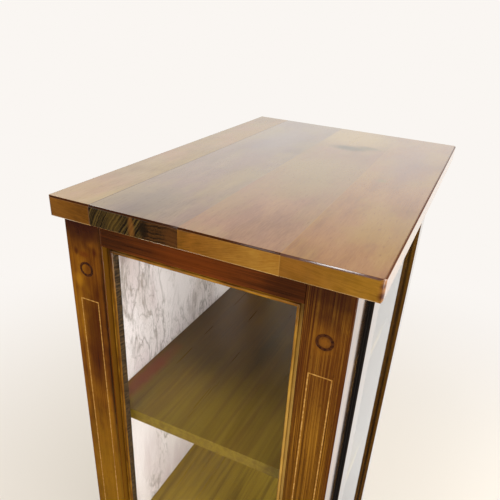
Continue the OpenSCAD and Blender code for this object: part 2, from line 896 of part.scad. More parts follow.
module door_beads() color(post_color)
  translate([0, pane_back_y, (pocket_z + pocket_top_z) / 2]) rotate([90, 0, 180])
    bead_frame(2 * pocket_x, pocket_top_z - pocket_z, door_rebate,
               quarter_round(door_rebate, door_back_y - pane_back_y));

module door_seal() color(dark_color)
  block([-door_x - seal_t, door_y + rest_gap, door_z], [-door_x, door_back_y, door_top_z]);

// Turned knob: a small foot, a waist and a domed head
knob_foot_r = 0.65 * knob_r;
knob_waist_r = 0.45 * knob_r;
knob_foot_t = 3;
knob_waist_z = 0.36 * knob_len;
knob_head_z = 0.68 * knob_len;
knob_outline = concat(
  [[0, 0], [knob_foot_r, 0], [knob_foot_r, knob_foot_t], [knob_waist_r, knob_foot_t + 1],
   [knob_waist_r, knob_waist_z]],
  [for (a = [-60:15:90])
    [knob_r * cos(a), knob_head_z + (knob_len - knob_head_z) * sin(a)]]
);

module door_knob() color(ring_color) translate([-knob_x, door_y, knob_z]) rotate([90, 0, 0])
  difference() {
    rotate_extrude() polygon(knob_outline);
    translate([0, 0, -past])
      cylinder(h = knob_screw_reach + pin_hole_extra + past, r = knob_screw_r + pin_fit);
  }

module knob_screw() color(steel_color) translate([-knob_x, door_back_y, knob_z]) {
  rotate([90, 0, 0]) cylinder(h = door_t + knob_screw_reach, r = knob_screw_r);
  rotate([-90, 0, 0]) cylinder(h = knob_screw_head_t, r = knob_screw_head_r);
}

top_board_front();
top_board_mid_front();
top_board_mid_back();
top_board_back();
top_dowels();
post_front_left();
post_front_right();
stile_back_left();
stile_back_right();
ring_inlays();
string_inlays();
foot_glides();
rail_top_left();
rail_top_right();
rail_bottom_left();
rail_bottom_right();
rail_top_front();
rail_bottom_front();
rail_top_back();
rail_bottom_back();
outer_beads_left();
outer_beads_right();
inner_beads_left();
inner_beads_right();
sealing_strips_left();
sealing_strips_right();
glass_left();
glass_right();
back_panel();
marble_lining();
bottom_board();
bottom_cleats();
shelf_upper();
shelf_middle();
shelf_lower();
shelf_pins();
door_stop();
magnetic_catch();
catch_magnet();
pivot_plate_top();
pivot_plate_bottom();
pivot_washer();
frame_screws();
door_stile_left();
door_stile_right();
door_rail_top();
door_rail_bottom();
door_glass();
door_beads();
door_seal();
door_knob();
knob_screw();
strike_plate();
door_plate_top();
door_plate_bottom();
door_screws();
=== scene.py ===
import math

import bmesh
import bpy
from mathutils import Matrix, Vector


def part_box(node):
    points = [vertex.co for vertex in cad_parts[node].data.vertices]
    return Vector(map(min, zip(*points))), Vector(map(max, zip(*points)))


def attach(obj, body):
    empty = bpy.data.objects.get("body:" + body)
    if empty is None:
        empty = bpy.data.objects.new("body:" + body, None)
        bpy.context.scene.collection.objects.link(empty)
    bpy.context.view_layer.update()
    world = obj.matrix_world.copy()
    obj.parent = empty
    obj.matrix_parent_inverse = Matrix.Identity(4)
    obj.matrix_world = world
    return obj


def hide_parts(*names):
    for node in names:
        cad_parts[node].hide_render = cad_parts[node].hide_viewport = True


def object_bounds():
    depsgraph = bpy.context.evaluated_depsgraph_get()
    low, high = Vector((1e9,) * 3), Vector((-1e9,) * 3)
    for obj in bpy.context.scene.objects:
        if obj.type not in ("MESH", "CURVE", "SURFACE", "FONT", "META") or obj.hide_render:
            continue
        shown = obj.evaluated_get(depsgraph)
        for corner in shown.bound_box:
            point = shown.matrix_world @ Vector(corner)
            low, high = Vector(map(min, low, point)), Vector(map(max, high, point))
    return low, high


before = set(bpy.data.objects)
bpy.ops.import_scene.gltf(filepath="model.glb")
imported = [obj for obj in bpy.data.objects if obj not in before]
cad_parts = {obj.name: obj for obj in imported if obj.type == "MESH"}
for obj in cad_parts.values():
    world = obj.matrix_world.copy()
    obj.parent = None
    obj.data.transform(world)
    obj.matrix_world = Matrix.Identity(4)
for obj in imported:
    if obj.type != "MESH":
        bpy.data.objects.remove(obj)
cad_low, cad_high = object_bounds()

MM = 0.001

# Camera, in the row frame
CAMERA_PLACE = (-0.7116, -0.2530, 1.6124)
CAMERA_HEADING = math.radians(22.66)
CAMERA_TILT = math.radians(-27.01)
CAMERA_ROLL = math.radians(3.99)
LENS_MM = 36.56
SENSOR_MM = 36
SHIFT_X = -0.0295
SHIFT_Y = 0.0275

# Colour of the air behind everything
BACKGROUND = "#faf6f2"

# Edges of finished wood
EDGE_ROUND = 0.22 * MM
MOULDING_ROUND = 0.2 * MM
TOP_ROUND = 0.4 * MM
EDGE_REACH = 4.2 * MM
EDGE_ANGLE = math.radians(25)
FLAT_ANGLE = math.radians(1)
SMOOTH_ANGLE = math.radians(40)
SHARP_ANGLE = math.radians(50)
SQUARE_ENOUGH = 0.9999
ON_AXIS = 1e-7
WELD = 0.002 * MM

# Kinds of node and settings that come up often
NOISE = "ShaderNodeTexNoise"
MAPPING = "ShaderNodeMapping"
MATHS = "ShaderNodeMath"
VECTORS = "ShaderNodeVectorMath"
RANGE = "ShaderNodeMapRange"
SPLIT = "ShaderNodeSeparateXYZ"
MIX = "ShaderNodeMix"
ADD = {"operation": "ADD"}
SUBTRACT = {"operation": "SUBTRACT"}
MULTIPLY = {"operation": "MULTIPLY"}
ABSOLUTE = {"operation": "ABSOLUTE"}
MAXIMUM = {"operation": "MAXIMUM"}
LENGTH = {"operation": "LENGTH"}
SMOOTH = {"interpolation_type": "SMOOTHSTEP"}
# Inputs 0, 6 and 7 of a mix of colours are its share and the two colours
COLOURS = {"data_type": "RGBA"}


def linear(code):
    """A colour written as sRGB hex, in linear light."""
    parts = [int(code[i:i + 2], 16) / 255 for i in (1, 3, 5)]
    light = [p / 12.92 if p <= 0.04045 else ((p + 0.055) / 1.055) ** 2.4 for p in parts]
    return (*light, 1.0)


def add(tree, kind, settings=None, inputs=None):
    """Adds a node with its settings, and fills or links its inputs.
    A node given as an input stands for its first output in use, and a hex code for its colour."""
    node = tree.nodes.new(kind)
    for name, value in (settings or {}).items():
        if name == "stops":
            ramp = node.color_ramp.elements
            while len(ramp) < len(value):
                ramp.new(1.0)
            for element, (place, colour) in zip(ramp, value):
                element.position = place
                element.color = linear(colour)
        else:
            setattr(node, name, value)
    for name, value in (inputs or {}).items():
        if isinstance(value, bpy.types.Node):
            value = next(socket for socket in value.outputs if socket.enabled)
        if isinstance(value, bpy.types.NodeSocket):
            tree.links.new(value, node.inputs[name])
        elif isinstance(value, str) and value.startswith("#"):
            node.inputs[name].default_value = linear(value)
        else:
            node.inputs[name].default_value = value
    return node


def blank_material(name):
    """An empty material, its node tree and its object coordinates."""
    material = bpy.data.materials.new(name)
    material.use_nodes = True
    tree = material.node_tree
    tree.nodes.clear()
    return material, tree, add(tree, "ShaderNodeTexCoord").outputs["Object"]


def surfaced(material, inputs):
    """Ends a material in one shader with these inputs."""
    shader = add(material.node_tree, "ShaderNodeBsdfPrincipled", {}, inputs)
    add(material.node_tree, "ShaderNodeOutputMaterial", {}, {"Surface": shader})
    return material


# Patterns

# How square to an axis a face's normal has to be before it counts, and before it counts fully
SQUARE_FROM, SQUARE_FULLY = 0.55, 0.8
# Height of the normal of a sloping face, how near to it a face starts to count, and counts fully
SLOPE, SLOPE_FROM, SLOPE_FULLY = 0.7, 0.22, 0.1
# A spot starts to show at its full half size, and is solid within a fifth of it
SPOT_FROM, SPOT_FULLY = 1.0, 0.2
SPOT_GRAIN = 60.0
# Glancing views at which lacquer starts to turn into a mirror, and is one fully
GLANCE_FROM, GLANCE_FULLY = 0.54, 0.72


def blended(tree, value, reach, first, second, strength=1.0):
    """The first colour, turning into the second as a value runs through its reach."""
    share = add(tree, RANGE, SMOOTH,
                {"Value": value, "From Min": reach[0], "From Max": reach[1], "To Max": strength})
    return add(tree, MIX, COLOURS, {0: share, 6: first, 7: second})


def mottled(tree, place, scale, detail, reach, first, second, strength=1.0):
    """The first colour, turning into the second in soft patches."""
    noise = add(tree, NOISE, {}, {"Vector": place, "Scale": scale, "Detail": detail})
    return blended(tree, noise, reach, first, second, strength)


def shaded(tree, colour, shade, where, strength):
    """A colour with a shade laid over it at some strength, where a mask is 1."""
    share = add(tree, MATHS, MULTIPLY, {0: where, 1: strength})
    return add(tree, MIX, COLOURS, {0: share, 6: colour, 7: shade})


def weighed(tree, *parts):
    """The sum of values, each times its weight."""
    terms = [add(tree, MATHS, MULTIPLY, {0: value, 1: weight}) for value, weight in parts]
    total = terms.pop()
    while terms:
        total = add(tree, MATHS, ADD, {0: terms.pop(), 1: total})
    return total


def away(tree, value, middle):
    """How far a value lies from a middle one."""
    off = add(tree, MATHS, SUBTRACT, {0: value, 1: middle})
    return add(tree, MATHS, ABSOLUTE, {0: off})


def shaken(tree, place, scale, detail, reach):
    """A place pushed about by a noise, so that what is drawn there bends."""
    noise = add(tree, NOISE, {}, {"Vector": place, "Scale": scale, "Detail": detail})
    return add(tree, VECTORS, {"operation": "MULTIPLY_ADD"},
               {0: noise.outputs["Color"], 1: (reach, reach, reach), 2: place})


def patch(tree, place, centre, size, ragged=0.25):
    """1 in the middle of a soft-edged spot of that half size in metres, and 0 outside it."""
    noise = add(tree, NOISE, {}, {"Vector": place, "Scale": SPOT_GRAIN, "Detail": 3.0})
    off = add(tree, VECTORS, SUBTRACT, {0: place, 1: centre})
    share = add(tree, VECTORS, {"operation": "DIVIDE"}, {0: off, 1: size})
    length = add(tree, VECTORS, LENGTH, {0: share})
    centred = add(tree, MATHS, SUBTRACT, {0: noise, 1: 0.5})
    wobble = add(tree, MATHS, MULTIPLY, {0: centred, 1: 2 * ragged})
    reach = add(tree, MATHS, ADD, {0: length, 1: wobble})
    return add(tree, RANGE, SMOOTH, {"Value": reach, "From Min": SPOT_FROM, "From Max": SPOT_FULLY})


def stained(tree, place, colour, stains):
    """A colour with soft spots: middle and half size in metres, shade, strength, and how ragged if given."""
    for centre, size, shade, strength, *ragged in stains:
        colour = shaded(tree, colour, shade, patch(tree, place, centre, size, *ragged), strength)
    return colour


def facing(tree, axis):
    """1 on faces that are square to the axis, and 0 elsewhere."""
    shape = add(tree, "ShaderNodeNewGeometry")
    parts = add(tree, SPLIT, {}, {"Vector": shape.outputs["Normal"]})
    size = add(tree, MATHS, ABSOLUTE, {0: parts.outputs[axis]})
    return add(tree, RANGE, SMOOTH, {"Value": size, "From Min": SQUARE_FROM, "From Max": SQUARE_FULLY})


def slanted(tree, way):
    """1 on faces that slope between upright and level, up for way 1 or down for -1, and 0 elsewhere."""
    shape = add(tree, "ShaderNodeNewGeometry")
    parts = add(tree, SPLIT, {}, {"Vector": shape.outputs["Normal"]})
    slope = away(tree, parts.outputs["Z"], SLOPE * way)
    return add(tree, RANGE, SMOOTH, {"Value": slope, "From Min": SLOPE_FROM, "From Max": SLOPE_FULLY})


def mirror_coat(tree, polish):
    """Weight of a lacquer that turns into a mirror where it is seen along its surface."""
    glance = add(tree, "ShaderNodeLayerWeight", {}, {"Blend": 0.5})
    return add(tree, RANGE, SMOOTH, {"Value": glance.outputs["Facing"], "From Min": GLANCE_FROM,
                                     "From Max": GLANCE_FULLY, "To Max": polish})


# Wood

COAT_ROUGHNESS = 0.08
WANDER_SIZE_MM = 70
ARRIS_DARKENING = 0.7
# Corners from which an upright arris starts to be darkened and dulled, and is so fully
ARRIS_CORNER_REACH = (0.15, 0.4)
# From this much of the arris mask on, the wood mirrors no more than this level and has no coat left
DULL_FULLY, DULL_LEVEL = 0.6, 0.05
# Noise values at which a pore starts, and is fully dark
PORE_REACH = (0.6, 0.74)
# How far the roughness swings with the bands of the wood, and the noise values it swings between
SHEEN_SWING, SHEEN_REACH = (0.8, 1.25), (0.3, 0.7)
# Where a tint drifts in, as noise values
TINT_REACH = (0.42, 0.6)
# How much each pattern is shifted, so that none lines up with another
BAND_SHIFT, CLOUD_SHIFT, PORE_SHIFT, TINT_SHIFT, NEXT_TINT = 3.1, 7.7, 1.3, 11.3, 4


def scaled(across_mm, along_mm):
    """Scale of a pattern whose features are that many millimetres across and along the grain."""
    return (1000 / across_mm, 1000 / across_mm, 1000 / along_mm)


def fibres(tree, vector, across_mm, along_mm, detail, rough, shift):
    """Noise drawn out along the grain, from 0 to 1."""
    place = add(tree, MAPPING, {}, {"Vector": vector, "Location": (shift, shift * 1.7, shift * 0.6),
                                    "Scale": scaled(across_mm, along_mm)})
    return add(tree, NOISE, {}, {"Vector": place, "Scale": 1.0, "Detail": detail, "Roughness": rough})


def grain_space(tree, place, along):
    """Object coordinates turned so that their third axis runs along the grain."""
    parts = add(tree, SPLIT, {}, {"Vector": place})
    order = {"X": "YZX", "Y": "XZY", "Z": "XYZ"}[along]
    return add(tree, "ShaderNodeCombineXYZ", {}, {i: parts.outputs[axis] for i, axis in enumerate(order)})


def wandering(tree, vector, reach_mm, size_mm):
    """The same space with its fibres wandering slowly from side to side."""
    place = add(tree, MAPPING, {}, {"Vector": vector, "Scale": scaled(size_mm, 5 * size_mm)})
    noise = add(tree, NOISE, {}, {"Vector": place, "Scale": 1.0, "Detail": 2.0, "Roughness": 0.5})
    centred = add(tree, VECTORS, SUBTRACT, {0: noise.outputs["Color"], 1: (0.5, 0.5, 0.5)})
    reach = add(tree, VECTORS, {"operation": "SCALE"}, {0: centred, "Scale": reach_mm * MM})
    return add(tree, VECTORS, ADD, {0: vector, 1: reach})


def wood(name, along, dark, mid, light, streak=(1.5, 160), band=(6, 300), cloud=(50, 220),
         weights=(0.42, 0.33, 0.25), spread=(0.33, 0.68), pores=0.55, roughness=0.14, level=0.5,
         polish=0.0, wander=5, shift=0.0, spots=(), tints=(), end=None, bump=0.25, arris=None,
         side=None, marks=(), pore_size=(0.8, 9), shiny_end=False, darkened_arrises=True):
    """Lacquered wood: long streaks, wider bands, soft clouds of tone and short dark pores."""
    material, tree, place = blank_material(name)
    grain = grain_space(tree, place, along)
    curved = wandering(tree, grain, wander, WANDER_SIZE_MM)
    fine = fibres(tree, curved, *streak, detail=5, rough=0.62, shift=shift)
    broad = fibres(tree, curved, *band, detail=3, rough=0.55, shift=shift + BAND_SHIFT)
    soft = fibres(tree, grain, *cloud, detail=2, rough=0.5, shift=shift + CLOUD_SHIFT)
    tone = weighed(tree, *zip((fine, broad, soft), weights))
    depth = add(tree, RANGE, {}, {"Value": tone, "From Min": spread[0], "From Max": spread[1]})
    colour = add(tree, "ShaderNodeValToRGB", {"stops": ((0.0, dark), (0.5, mid), (1.0, light))},
                 {"Fac": depth})
    for index, (shade, strength) in enumerate(tints):
        drift = fibres(tree, grain, 60, 130, detail=3, rough=0.55,
                       shift=shift + TINT_SHIFT + NEXT_TINT * index)
        colour = blended(tree, drift, TINT_REACH, colour, shade, strength)
    colour = stained(tree, place, colour, spots)
    # Real pores are a tenth of this width, too fine to show at this size of picture
    speck = fibres(tree, curved, *pore_size, detail=2, rough=0.5, shift=shift + PORE_SHIFT)
    pore = add(tree, RANGE, SMOOTH, {"Value": speck, "From Min": PORE_REACH[0], "From Max": PORE_REACH[1]})
    colour = shaded(tree, colour, dark, pore, pores)
    if end:
        colour = add(tree, MIX, COLOURS, {0: facing(tree, along), 6: colour, 7: end(tree, place)})
    for draw in marks:
        colour = draw(tree, place, colour)
    # Faces square to one axis take a colour of their own, as painted light or shade on that side
    if side:
        axis, shade, strength = side
        colour = shaded(tree, colour, shade, facing(tree, axis), strength)
    # Along the upright arrises the colour is darkened and the lacquer mirrors less
    dull = None
    if darkened_arrises:
        corner = add(tree, MATHS, MULTIPLY, {0: facing(tree, "X"), 1: facing(tree, "Y")})
        dull = add(tree, RANGE, SMOOTH, {"Value": corner, "From Min": ARRIS_CORNER_REACH[0],
                                         "From Max": ARRIS_CORNER_REACH[1]})
        colour = shaded(tree, colour, dark, dull, ARRIS_DARKENING)
    # The arris colours are painted light and shade: the upper and lower sloping edges take a lighter or
    # darker colour in place of the highlight or shade they catch
    if arris:
        upper = slanted(tree, 1)
        colour = add(tree, MIX, COLOURS, {0: upper, 6: colour, 7: arris[0]})
        colour = add(tree, MIX, COLOURS, {0: slanted(tree, -1), 6: colour, 7: arris[1]})
        if shiny_end:
            upper = add(tree, MATHS, MULTIPLY, {0: upper, 1: facing(tree, "Y")})
        dull = add(tree, MATHS, MAXIMUM, {0: dull, 1: upper}) if darkened_arrises else upper
    smoother, rougher = (roughness * swing for swing in SHEEN_SWING)
    sheen = add(tree, RANGE, SMOOTH, {"Value": broad, "From Min": SHEEN_REACH[0],
                                      "From Max": SHEEN_REACH[1], "To Min": smoother, "To Max": rougher})
    half = add(tree, MATHS, MULTIPLY, {0: fine, 1: 0.5})
    relief = add(tree, MATHS, SUBTRACT, {0: half, 1: pore})
    bumped = add(tree, "ShaderNodeBump", {}, {"Height": relief, "Distance": 0.03 * MM, "Strength": bump})
    if dull:
        level = add(tree, RANGE, SMOOTH, {"Value": dull, "From Max": DULL_FULLY, "To Min": level,
                                          "To Max": DULL_LEVEL})
    inputs = {"Base Color": colour, "Roughness": sheen, "Normal": bumped, "IOR": 1.5,
              "Specular IOR Level": level}
    if polish:
        weight = mirror_coat(tree, polish)
        if dull:
            left = add(tree, RANGE, SMOOTH, {"Value": dull, "From Max": DULL_FULLY, "To Min": 1.0,
                                             "To Max": 0.0})
            weight = add(tree, MATHS, MULTIPLY, {0: weight, 1: left})
        inputs.update({"Coat Weight": weight, "Coat Roughness": COAT_ROUGHNESS})
    return surfaced(material, inputs)


def ring_face(dark, light, spacing_mm, centre, drift_mm=3.0, contrast=(0.2, 0.8), grit=0.5):
    """End grain: growth rings round a centre that lies off the board, seen on its sawn end."""
    def draw(tree, place):
        off = add(tree, VECTORS, SUBTRACT, {0: shaken(tree, place, 30.0, 4.0, drift_mm * MM), 1: centre})
        flat = add(tree, VECTORS, MULTIPLY, {0: off, 1: (0.02, 1.0, 1.0)})
        # Rings of uneven width: noise read along the distance from the centre
        turns = add(tree, "ShaderNodeCombineXYZ", {}, {"X": add(tree, VECTORS, LENGTH, {0: flat})})
        rings = add(tree, NOISE, {}, {"Vector": turns, "Scale": 1000 / spacing_mm, "Detail": 3.0})
        spark = add(tree, NOISE, {}, {"Vector": place, "Scale": 420.0, "Detail": 3.0})
        both = weighed(tree, (rings, 1 - grit), (spark, grit))
        return blended(tree, both, contrast, dark, light)
    return draw


def striped_end(tree, place):
    """Sawn end with dark, fanned growth rings that level out towards the front, and a tan band."""
    rings = ring_face("#120a04", "#5e4920", 2.6, (0, -0.07, 1.29), 8.0, (0.42, 0.66), 0.1)(tree, place)
    calm = ring_face("#1d1004", "#4e3012", 2.6, (0, 0.05, 1.20), 12.0, (0.38, 0.64), 0.2)(tree, place)
    parts = add(tree, SPLIT, {}, {"Vector": place})
    shade = blended(tree, parts.outputs["Y"], (0.058, 0.074), calm, rings)
    return stained(tree, place, shade, (
        ((-0.3, 0.104, 1.388), (0.02, 0.016, 0.03), "#5b451a", 0.35, 0.5),
        ((-0.3, 0.080, 1.386), (0.02, 0.006, 0.03), "#7a4c1c", 0.6, 0.5),
        ((-0.3, 0.064, 1.388), (0.02, 0.010, 0.016), "#120a04", 0.8, 0.6),
        ((-0.3, 0.028, 1.385), (0.02, 0.016, 0.02), "#5a3412", 0.5, 0.5)))


def sawn_end(left, right, span, slope=0.0, thick_mm=0.9, long_mm=16):
    """Smooth sawn end: fine lines, in one pair of shades that drifts into another along the end."""
    reach = (0.36, 0.64)

    def draw(tree, place):
        # Lines this fine are drawn about twice as wide as the real ones
        turned = add(tree, MAPPING, {}, {"Vector": place, "Rotation": (math.radians(slope), 0, 0)})
        drawn = add(tree, MAPPING, {}, {"Vector": turned, "Scale": (1.0, 1000 / long_mm, 1000 / thick_mm)})
        lines = add(tree, NOISE, {}, {"Vector": drawn, "Scale": 1.0, "Detail": 4.0, "Roughness": 0.6})
        soft = add(tree, NOISE, {}, {"Vector": place, "Scale": 45.0, "Detail": 3.0})
        both = weighed(tree, (lines, 0.6), (soft, 0.4))
        first = blended(tree, both, reach, *left)
        second = blended(tree, both, reach, *right)
        parts = add(tree, SPLIT, {}, {"Vector": place})
        return blended(tree, parts.outputs["Y"], span, first, second)
    return draw


def joint_line(line_y, shade, strength, reach_mm=0.8):
    """A thin line of glue or filler along one joint of the top."""
    def draw(tree, place, colour):
        parts = add(tree, SPLIT, {}, {"Vector": place})
        off = away(tree, parts.outputs["Y"], line_y)
        return blended(tree, off, (reach_mm * MM, 0.3 * reach_mm * MM), colour, shade, strength)
    return draw


def dented_and_shaded_corner(tree, place, colour):
    """Dark stain in the dents of the near corner of the top, and painted shade down its rounded upright
    edge.
    """
    return stained(tree, place, colour, (
        # Painted shade down the rounded upright edge of the corner
        ((-0.3, -0.2, 1.387), (0.007, 0.007, 0.05), "#5e300c", 0.8),
        # Dark stain in the dents
        ((-0.299, -0.199, 1.392), (0.009, 0.007, 0.004), "#401a08", 0.7),
        ((-0.299, -0.200, 1.381), (0.012, 0.008, 0.007), "#381206", 0.9)))


# Figure shared by the top's boards, which were planed and rubbed down together
TOP_FIGURE = {"streak": (1.6, 14), "band": (10, 90), "cloud": (36, 80), "weights": (0.3, 0.25, 0.45),
              "spread": (0.36, 0.64), "roughness": 0.17, "pores": 0.6, "wander": 12,
              "pore_size": (1.6, 11)}


# The mauve, grey and olive tints and broad spots of the top boards are partly the wood's own tone and partly
# a painted reflection of the room in the lacquer
def top_back_board(along):
    """Satin lacquered hardwood board, light tan above and golden brown on its sawn end."""
    return wood("lacquered_board_back", along, "#8c6c44", "#a48861", "#b49a74", shift=1.0, polish=0.5,
                tints=(("#b8896c", 0.5), ("#b09650", 0.35)), arris=("#3a1a00", "#b08a4e"),
                marks=(joint_line(0.138, "#5f4028", 0.9, 1.8),),
                end=sawn_end(("#573408", "#70450f"), ("#6b4212", "#7d5018"), (0.15, 0.2), -8),
                **TOP_FIGURE)


def top_mid_back_board(along):
    """Satin lacquered hardwood board with grey-brown heart, partly a painted reflection of the room, striped
    dark on its sawn end.
    """
    return wood("lacquered_board_mid_back", along, "#745a42", "#8f765c", "#a3896a", shift=2.0,
                polish=0.9, tints=(("#8c6a62", 0.5), ("#a08a58", 0.5)), arris=("#301400", "#8a6a34"),
                end=striped_end,
                spots=(((-0.26, 0.09, 1.4), (0.10, 0.06, 0.02), "#6e5c54", 0.6),
                       ((-0.12, 0.05, 1.4), (0.12, 0.03, 0.02), "#a08450", 0.5),
                       ((0.12, 0.08, 1.4), (0.14, 0.05, 0.02), "#8c7c84", 0.5)),
                **TOP_FIGURE)


def top_mid_front_board(along):
    """Satin lacquered hardwood board, tan above and orange gold on its sawn end."""
    return wood("lacquered_board_mid_front", along, "#845c3e", "#9c7250", "#ad855a", shift=3.0,
                polish=0.9, arris=("#3a1a00", "#c8a062"), tints=(("#a0864e", 0.5), ("#a07464", 0.22)),
                marks=(joint_line(-0.0965, "#b58c46", 0.25),),
                spots=(((-0.02, -0.03, 1.4), (0.16, 0.10, 0.02), "#a28c58", 0.6),
                       # Painted warm reflection at the far end
                       ((0.24, -0.03, 1.4), (0.14, 0.10, 0.02), "#c4a45c", 0.8),
                       # Dark olive marks
                       ((0.150, -0.036, 1.4), (0.024, 0.046, 0.02), "#544400", 1.0),
                       ((0.168, -0.064, 1.4), (0.020, 0.030, 0.02), "#6a5600", 0.9)),
                end=sawn_end(("#87581a", "#9a702a"), ("#65400e", "#835217"), (-0.09, 0.01), 12, 0.8, 12),
                **TOP_FIGURE)


def top_front_board(along):
    """Satin lacquered hardwood board, warm brown above and golden brown on its sawn end."""
    return wood("lacquered_board_front", along, "#8c5c2e", "#a2713a", "#b0844a", shift=4.0, polish=1.0,
                shiny_end=True,
                tints=(("#a6785c", 0.22), ("#ac8a40", 0.5)), arris=("#4a2000", "#c8a062"),
                marks=(joint_line(-0.0965, "#b58c46", 0.15), dented_and_shaded_corner),
                spots=(((-0.005, -0.129, 1.4), (0.012, 0.012, 0.02), "#8f8040", 0.6),
                       ((0.10, -0.15, 1.4), (0.16, 0.05, 0.02), "#8f7068", 0.5),
                       ((0.055, -0.150, 1.4), (0.003, 0.002, 0.01), "#3d2c1c", 0.8)),
                end=sawn_end(("#76500f", "#8f641c"), ("#6e4710", "#83551a"), (-0.19, -0.11), -6, 0.9, 20),
                **TOP_FIGURE)


def post_wood(along):
    """Gloss lacquered brown hardwood, quarter sawn, so that its streaks run the whole length."""
    return wood("streaked_post_wood_" + along.lower(), along, "#2c1204", "#623809", "#9a6a1c",
                streak=(0.9, 240), band=(3.2, 420), cloud=(26, 260), weights=(0.56, 0.32, 0.12),
                spread=(0.4, 0.6), roughness=0.11, polish=0.7, shift=5.0, bump=0.04,
                # Painted shadow under the top, darkening the upper end face
                spots=(((-0.2775, -0.146, 1.27), (0.02, 0.09, 0.12), "#4e240a", 0.5),
                       # Painted warm reflection of the floor, lighter gold towards the bottom
                       ((-0.2775, -0.146, 0.92), (0.02, 0.09, 0.36), "#7c520c", 0.4),
                       # Wood round the ring inlay
                       ((-0.2775, -0.146, 1.299), (0.02, 0.021, 0.03), "#7a4a0e", 0.6),
                       ((-0.2775, -0.1465, 1.299), (0.02, 0.0145, 0.0145), "#3a1a06", 0.8),
                       ((-0.2775, -0.1465, 1.299), (0.02, 0.0095, 0.0095), "#7a4a12", 0.9),
                       # Painted shadow under the top
                       ((-0.2775, -0.15, 1.372), (0.02, 0.06, 0.08), "#32140a", 0.85),
                       # A dark line along the edge by the door side
                       ((-0.2775, -0.172, 1.1), (0.02, 0.006, 0.6), "#4a2206", 0.7),
                       # Painted shade: the door side of each post turns nearly black towards the door
                       ((-0.2095, -0.174, 0.7), (0.05, 0.02, 4.0), "#120a05", 0.97),
                       ((0.2095, -0.174, 0.7), (0.05, 0.02, 4.0), "#120a05", 0.97)))


def stile_wood(along):
    """The same hardwood with a warmer, blotched figure, as on the stiles at the back."""
    return wood("mottled_stile_wood_" + along.lower(), along, "#451d03", "#744409", "#95620f",
                streak=(2.4, 150), band=(9, 200), cloud=(26, 70), weights=(0.25, 0.3, 0.45),
                # The side colour is painted light: faces square to Y are lit to a set mid brown
                spread=(0.36, 0.64), roughness=0.13, shift=6.5, side=("Y", "#66420f", 0.85),
                spots=(((-0.2775, 0.162, 1.338), (0.02, 0.010, 0.010), "#935a10", 0.8),
                       ((-0.2775, 0.186, 1.322), (0.02, 0.005, 0.008), "#3a1204", 0.8),
                       ((-0.2775, 0.157, 1.326), (0.02, 0.005, 0.009), "#421604", 0.8),
                       ((-0.2775, 0.174, 1.320), (0.02, 0.012, 0.007), "#5a2206", 0.6),
                       ((-0.2775, 0.186, 1.281), (0.02, 0.010, 0.014), "#9c6810", 0.8),
                       # Painted shadow under the top
                       ((-0.2775, 0.172, 1.374), (0.02, 0.08, 0.066), "#35140a", 1.0),
                       # Painted shade along the inner edge, where it meets the moulding
                       ((-0.2775, 0.146, 1.1), (0.02, 0.006, 0.5), "#220a00", 0.9),
                       # Painted warm reflection of the floor, lighter gold towards the bottom
                       ((-0.2775, 0.17, 0.86), (0.02, 0.06, 0.3), "#8e6408", 0.6),
                       # A darker patch
                       ((-0.2775, 0.168, 1.2), (0.02, 0.026, 0.125), "#401802", 0.8)))


def rail_wood(along):
    """Gloss lacquered dark red-brown hardwood with fine straight grain."""
    return wood("dark_rail_wood_" + along.lower(), along, "#331604", "#512708", "#70350c",
                streak=(1.2, 90), band=(5, 160), cloud=(40, 120), roughness=0.13, shift=8.0,
                spread=(0.38, 0.62),
                spots=(((-0.2775, 0.02, 1.352), (0.03, 0.08, 0.03), "#74350a", 0.5),
                       ((-0.2775, 0.13, 1.352), (0.03, 0.04, 0.03), "#2c1404", 0.5),
                       ((-0.2775, -0.1, 1.352), (0.03, 0.05, 0.03), "#2a1204", 0.6)))


def moulding_light_and_shade(tree, place, colour):
    """Painted light and shade on the bead: shade in its flat, quirk and upper corner, and a highlight on its
    outer arris.
    """
    # Distances from the middle of the cabinet, in metres, between which each part of the bead starts
    flat_starts = (0.2700, 0.2694)
    quirk_starts = (0.2671, 0.2665)
    arris_at, arris_edges = 0.2686, (0.0004, 0.0001)
    parts = add(tree, SPLIT, {}, {"Vector": place})
    reach = add(tree, MATHS, ABSOLUTE, {0: parts.outputs["X"]})
    colour = blended(tree, reach, flat_starts, colour, "#3a1c06", 0.25)
    colour = blended(tree, away(tree, reach, arris_at), arris_edges, colour, "#a8804c", 0.8)
    colour = blended(tree, reach, quirk_starts, colour, "#120804")
    # On the back bead the quirk is painted light, in gold, and the round painted darker as shade. Then come
    # the painted highlight on the near bead and the painted shadow on the upper corner of the back bead.
    return stained(tree, place, colour, (
        ((-0.2665, 0.144, 1.1), (0.003, 0.003, 0.8), "#b07c30", 0.95),
        ((-0.2705, 0.137, 1.1), (0.006, 0.0036, 0.8), "#4a2c0c", 0.8),
        ((-0.2715, -0.119, 1.12), (0.01, 0.014, 0.30), "#f0c060", 0.8, 0.1),
        ((-0.2775, 0.16, 1.335), (0.04, 0.07, 0.075), "#2e1208", 0.75)))


def bead_wood(along):
    """Gloss lacquered golden brown moulding, with light and shade painted on its flat, quirk, arris and
    round.
    """
    return wood("golden_bead_wood_" + along.lower(), along, "#6a3c08", "#9a6812", "#c08e2e",
                streak=(1.0, 40), band=(4, 30), cloud=(10, 28), weights=(0.3, 0.3, 0.4),
                spread=(0.39, 0.63), roughness=0.14, shift=9.0, marks=(moulding_light_and_shade,), darkened_arrises=False)


def inner_bead_wood(along):
    """Dark lacquered quarter-round bead behind the glass."""
    return wood("dark_bead_wood_" + along.lower(), along, "#241102", "#3c1f06", "#563010",
                streak=(1.2, 90), roughness=0.2, shift=10.0, darkened_arrises=False)


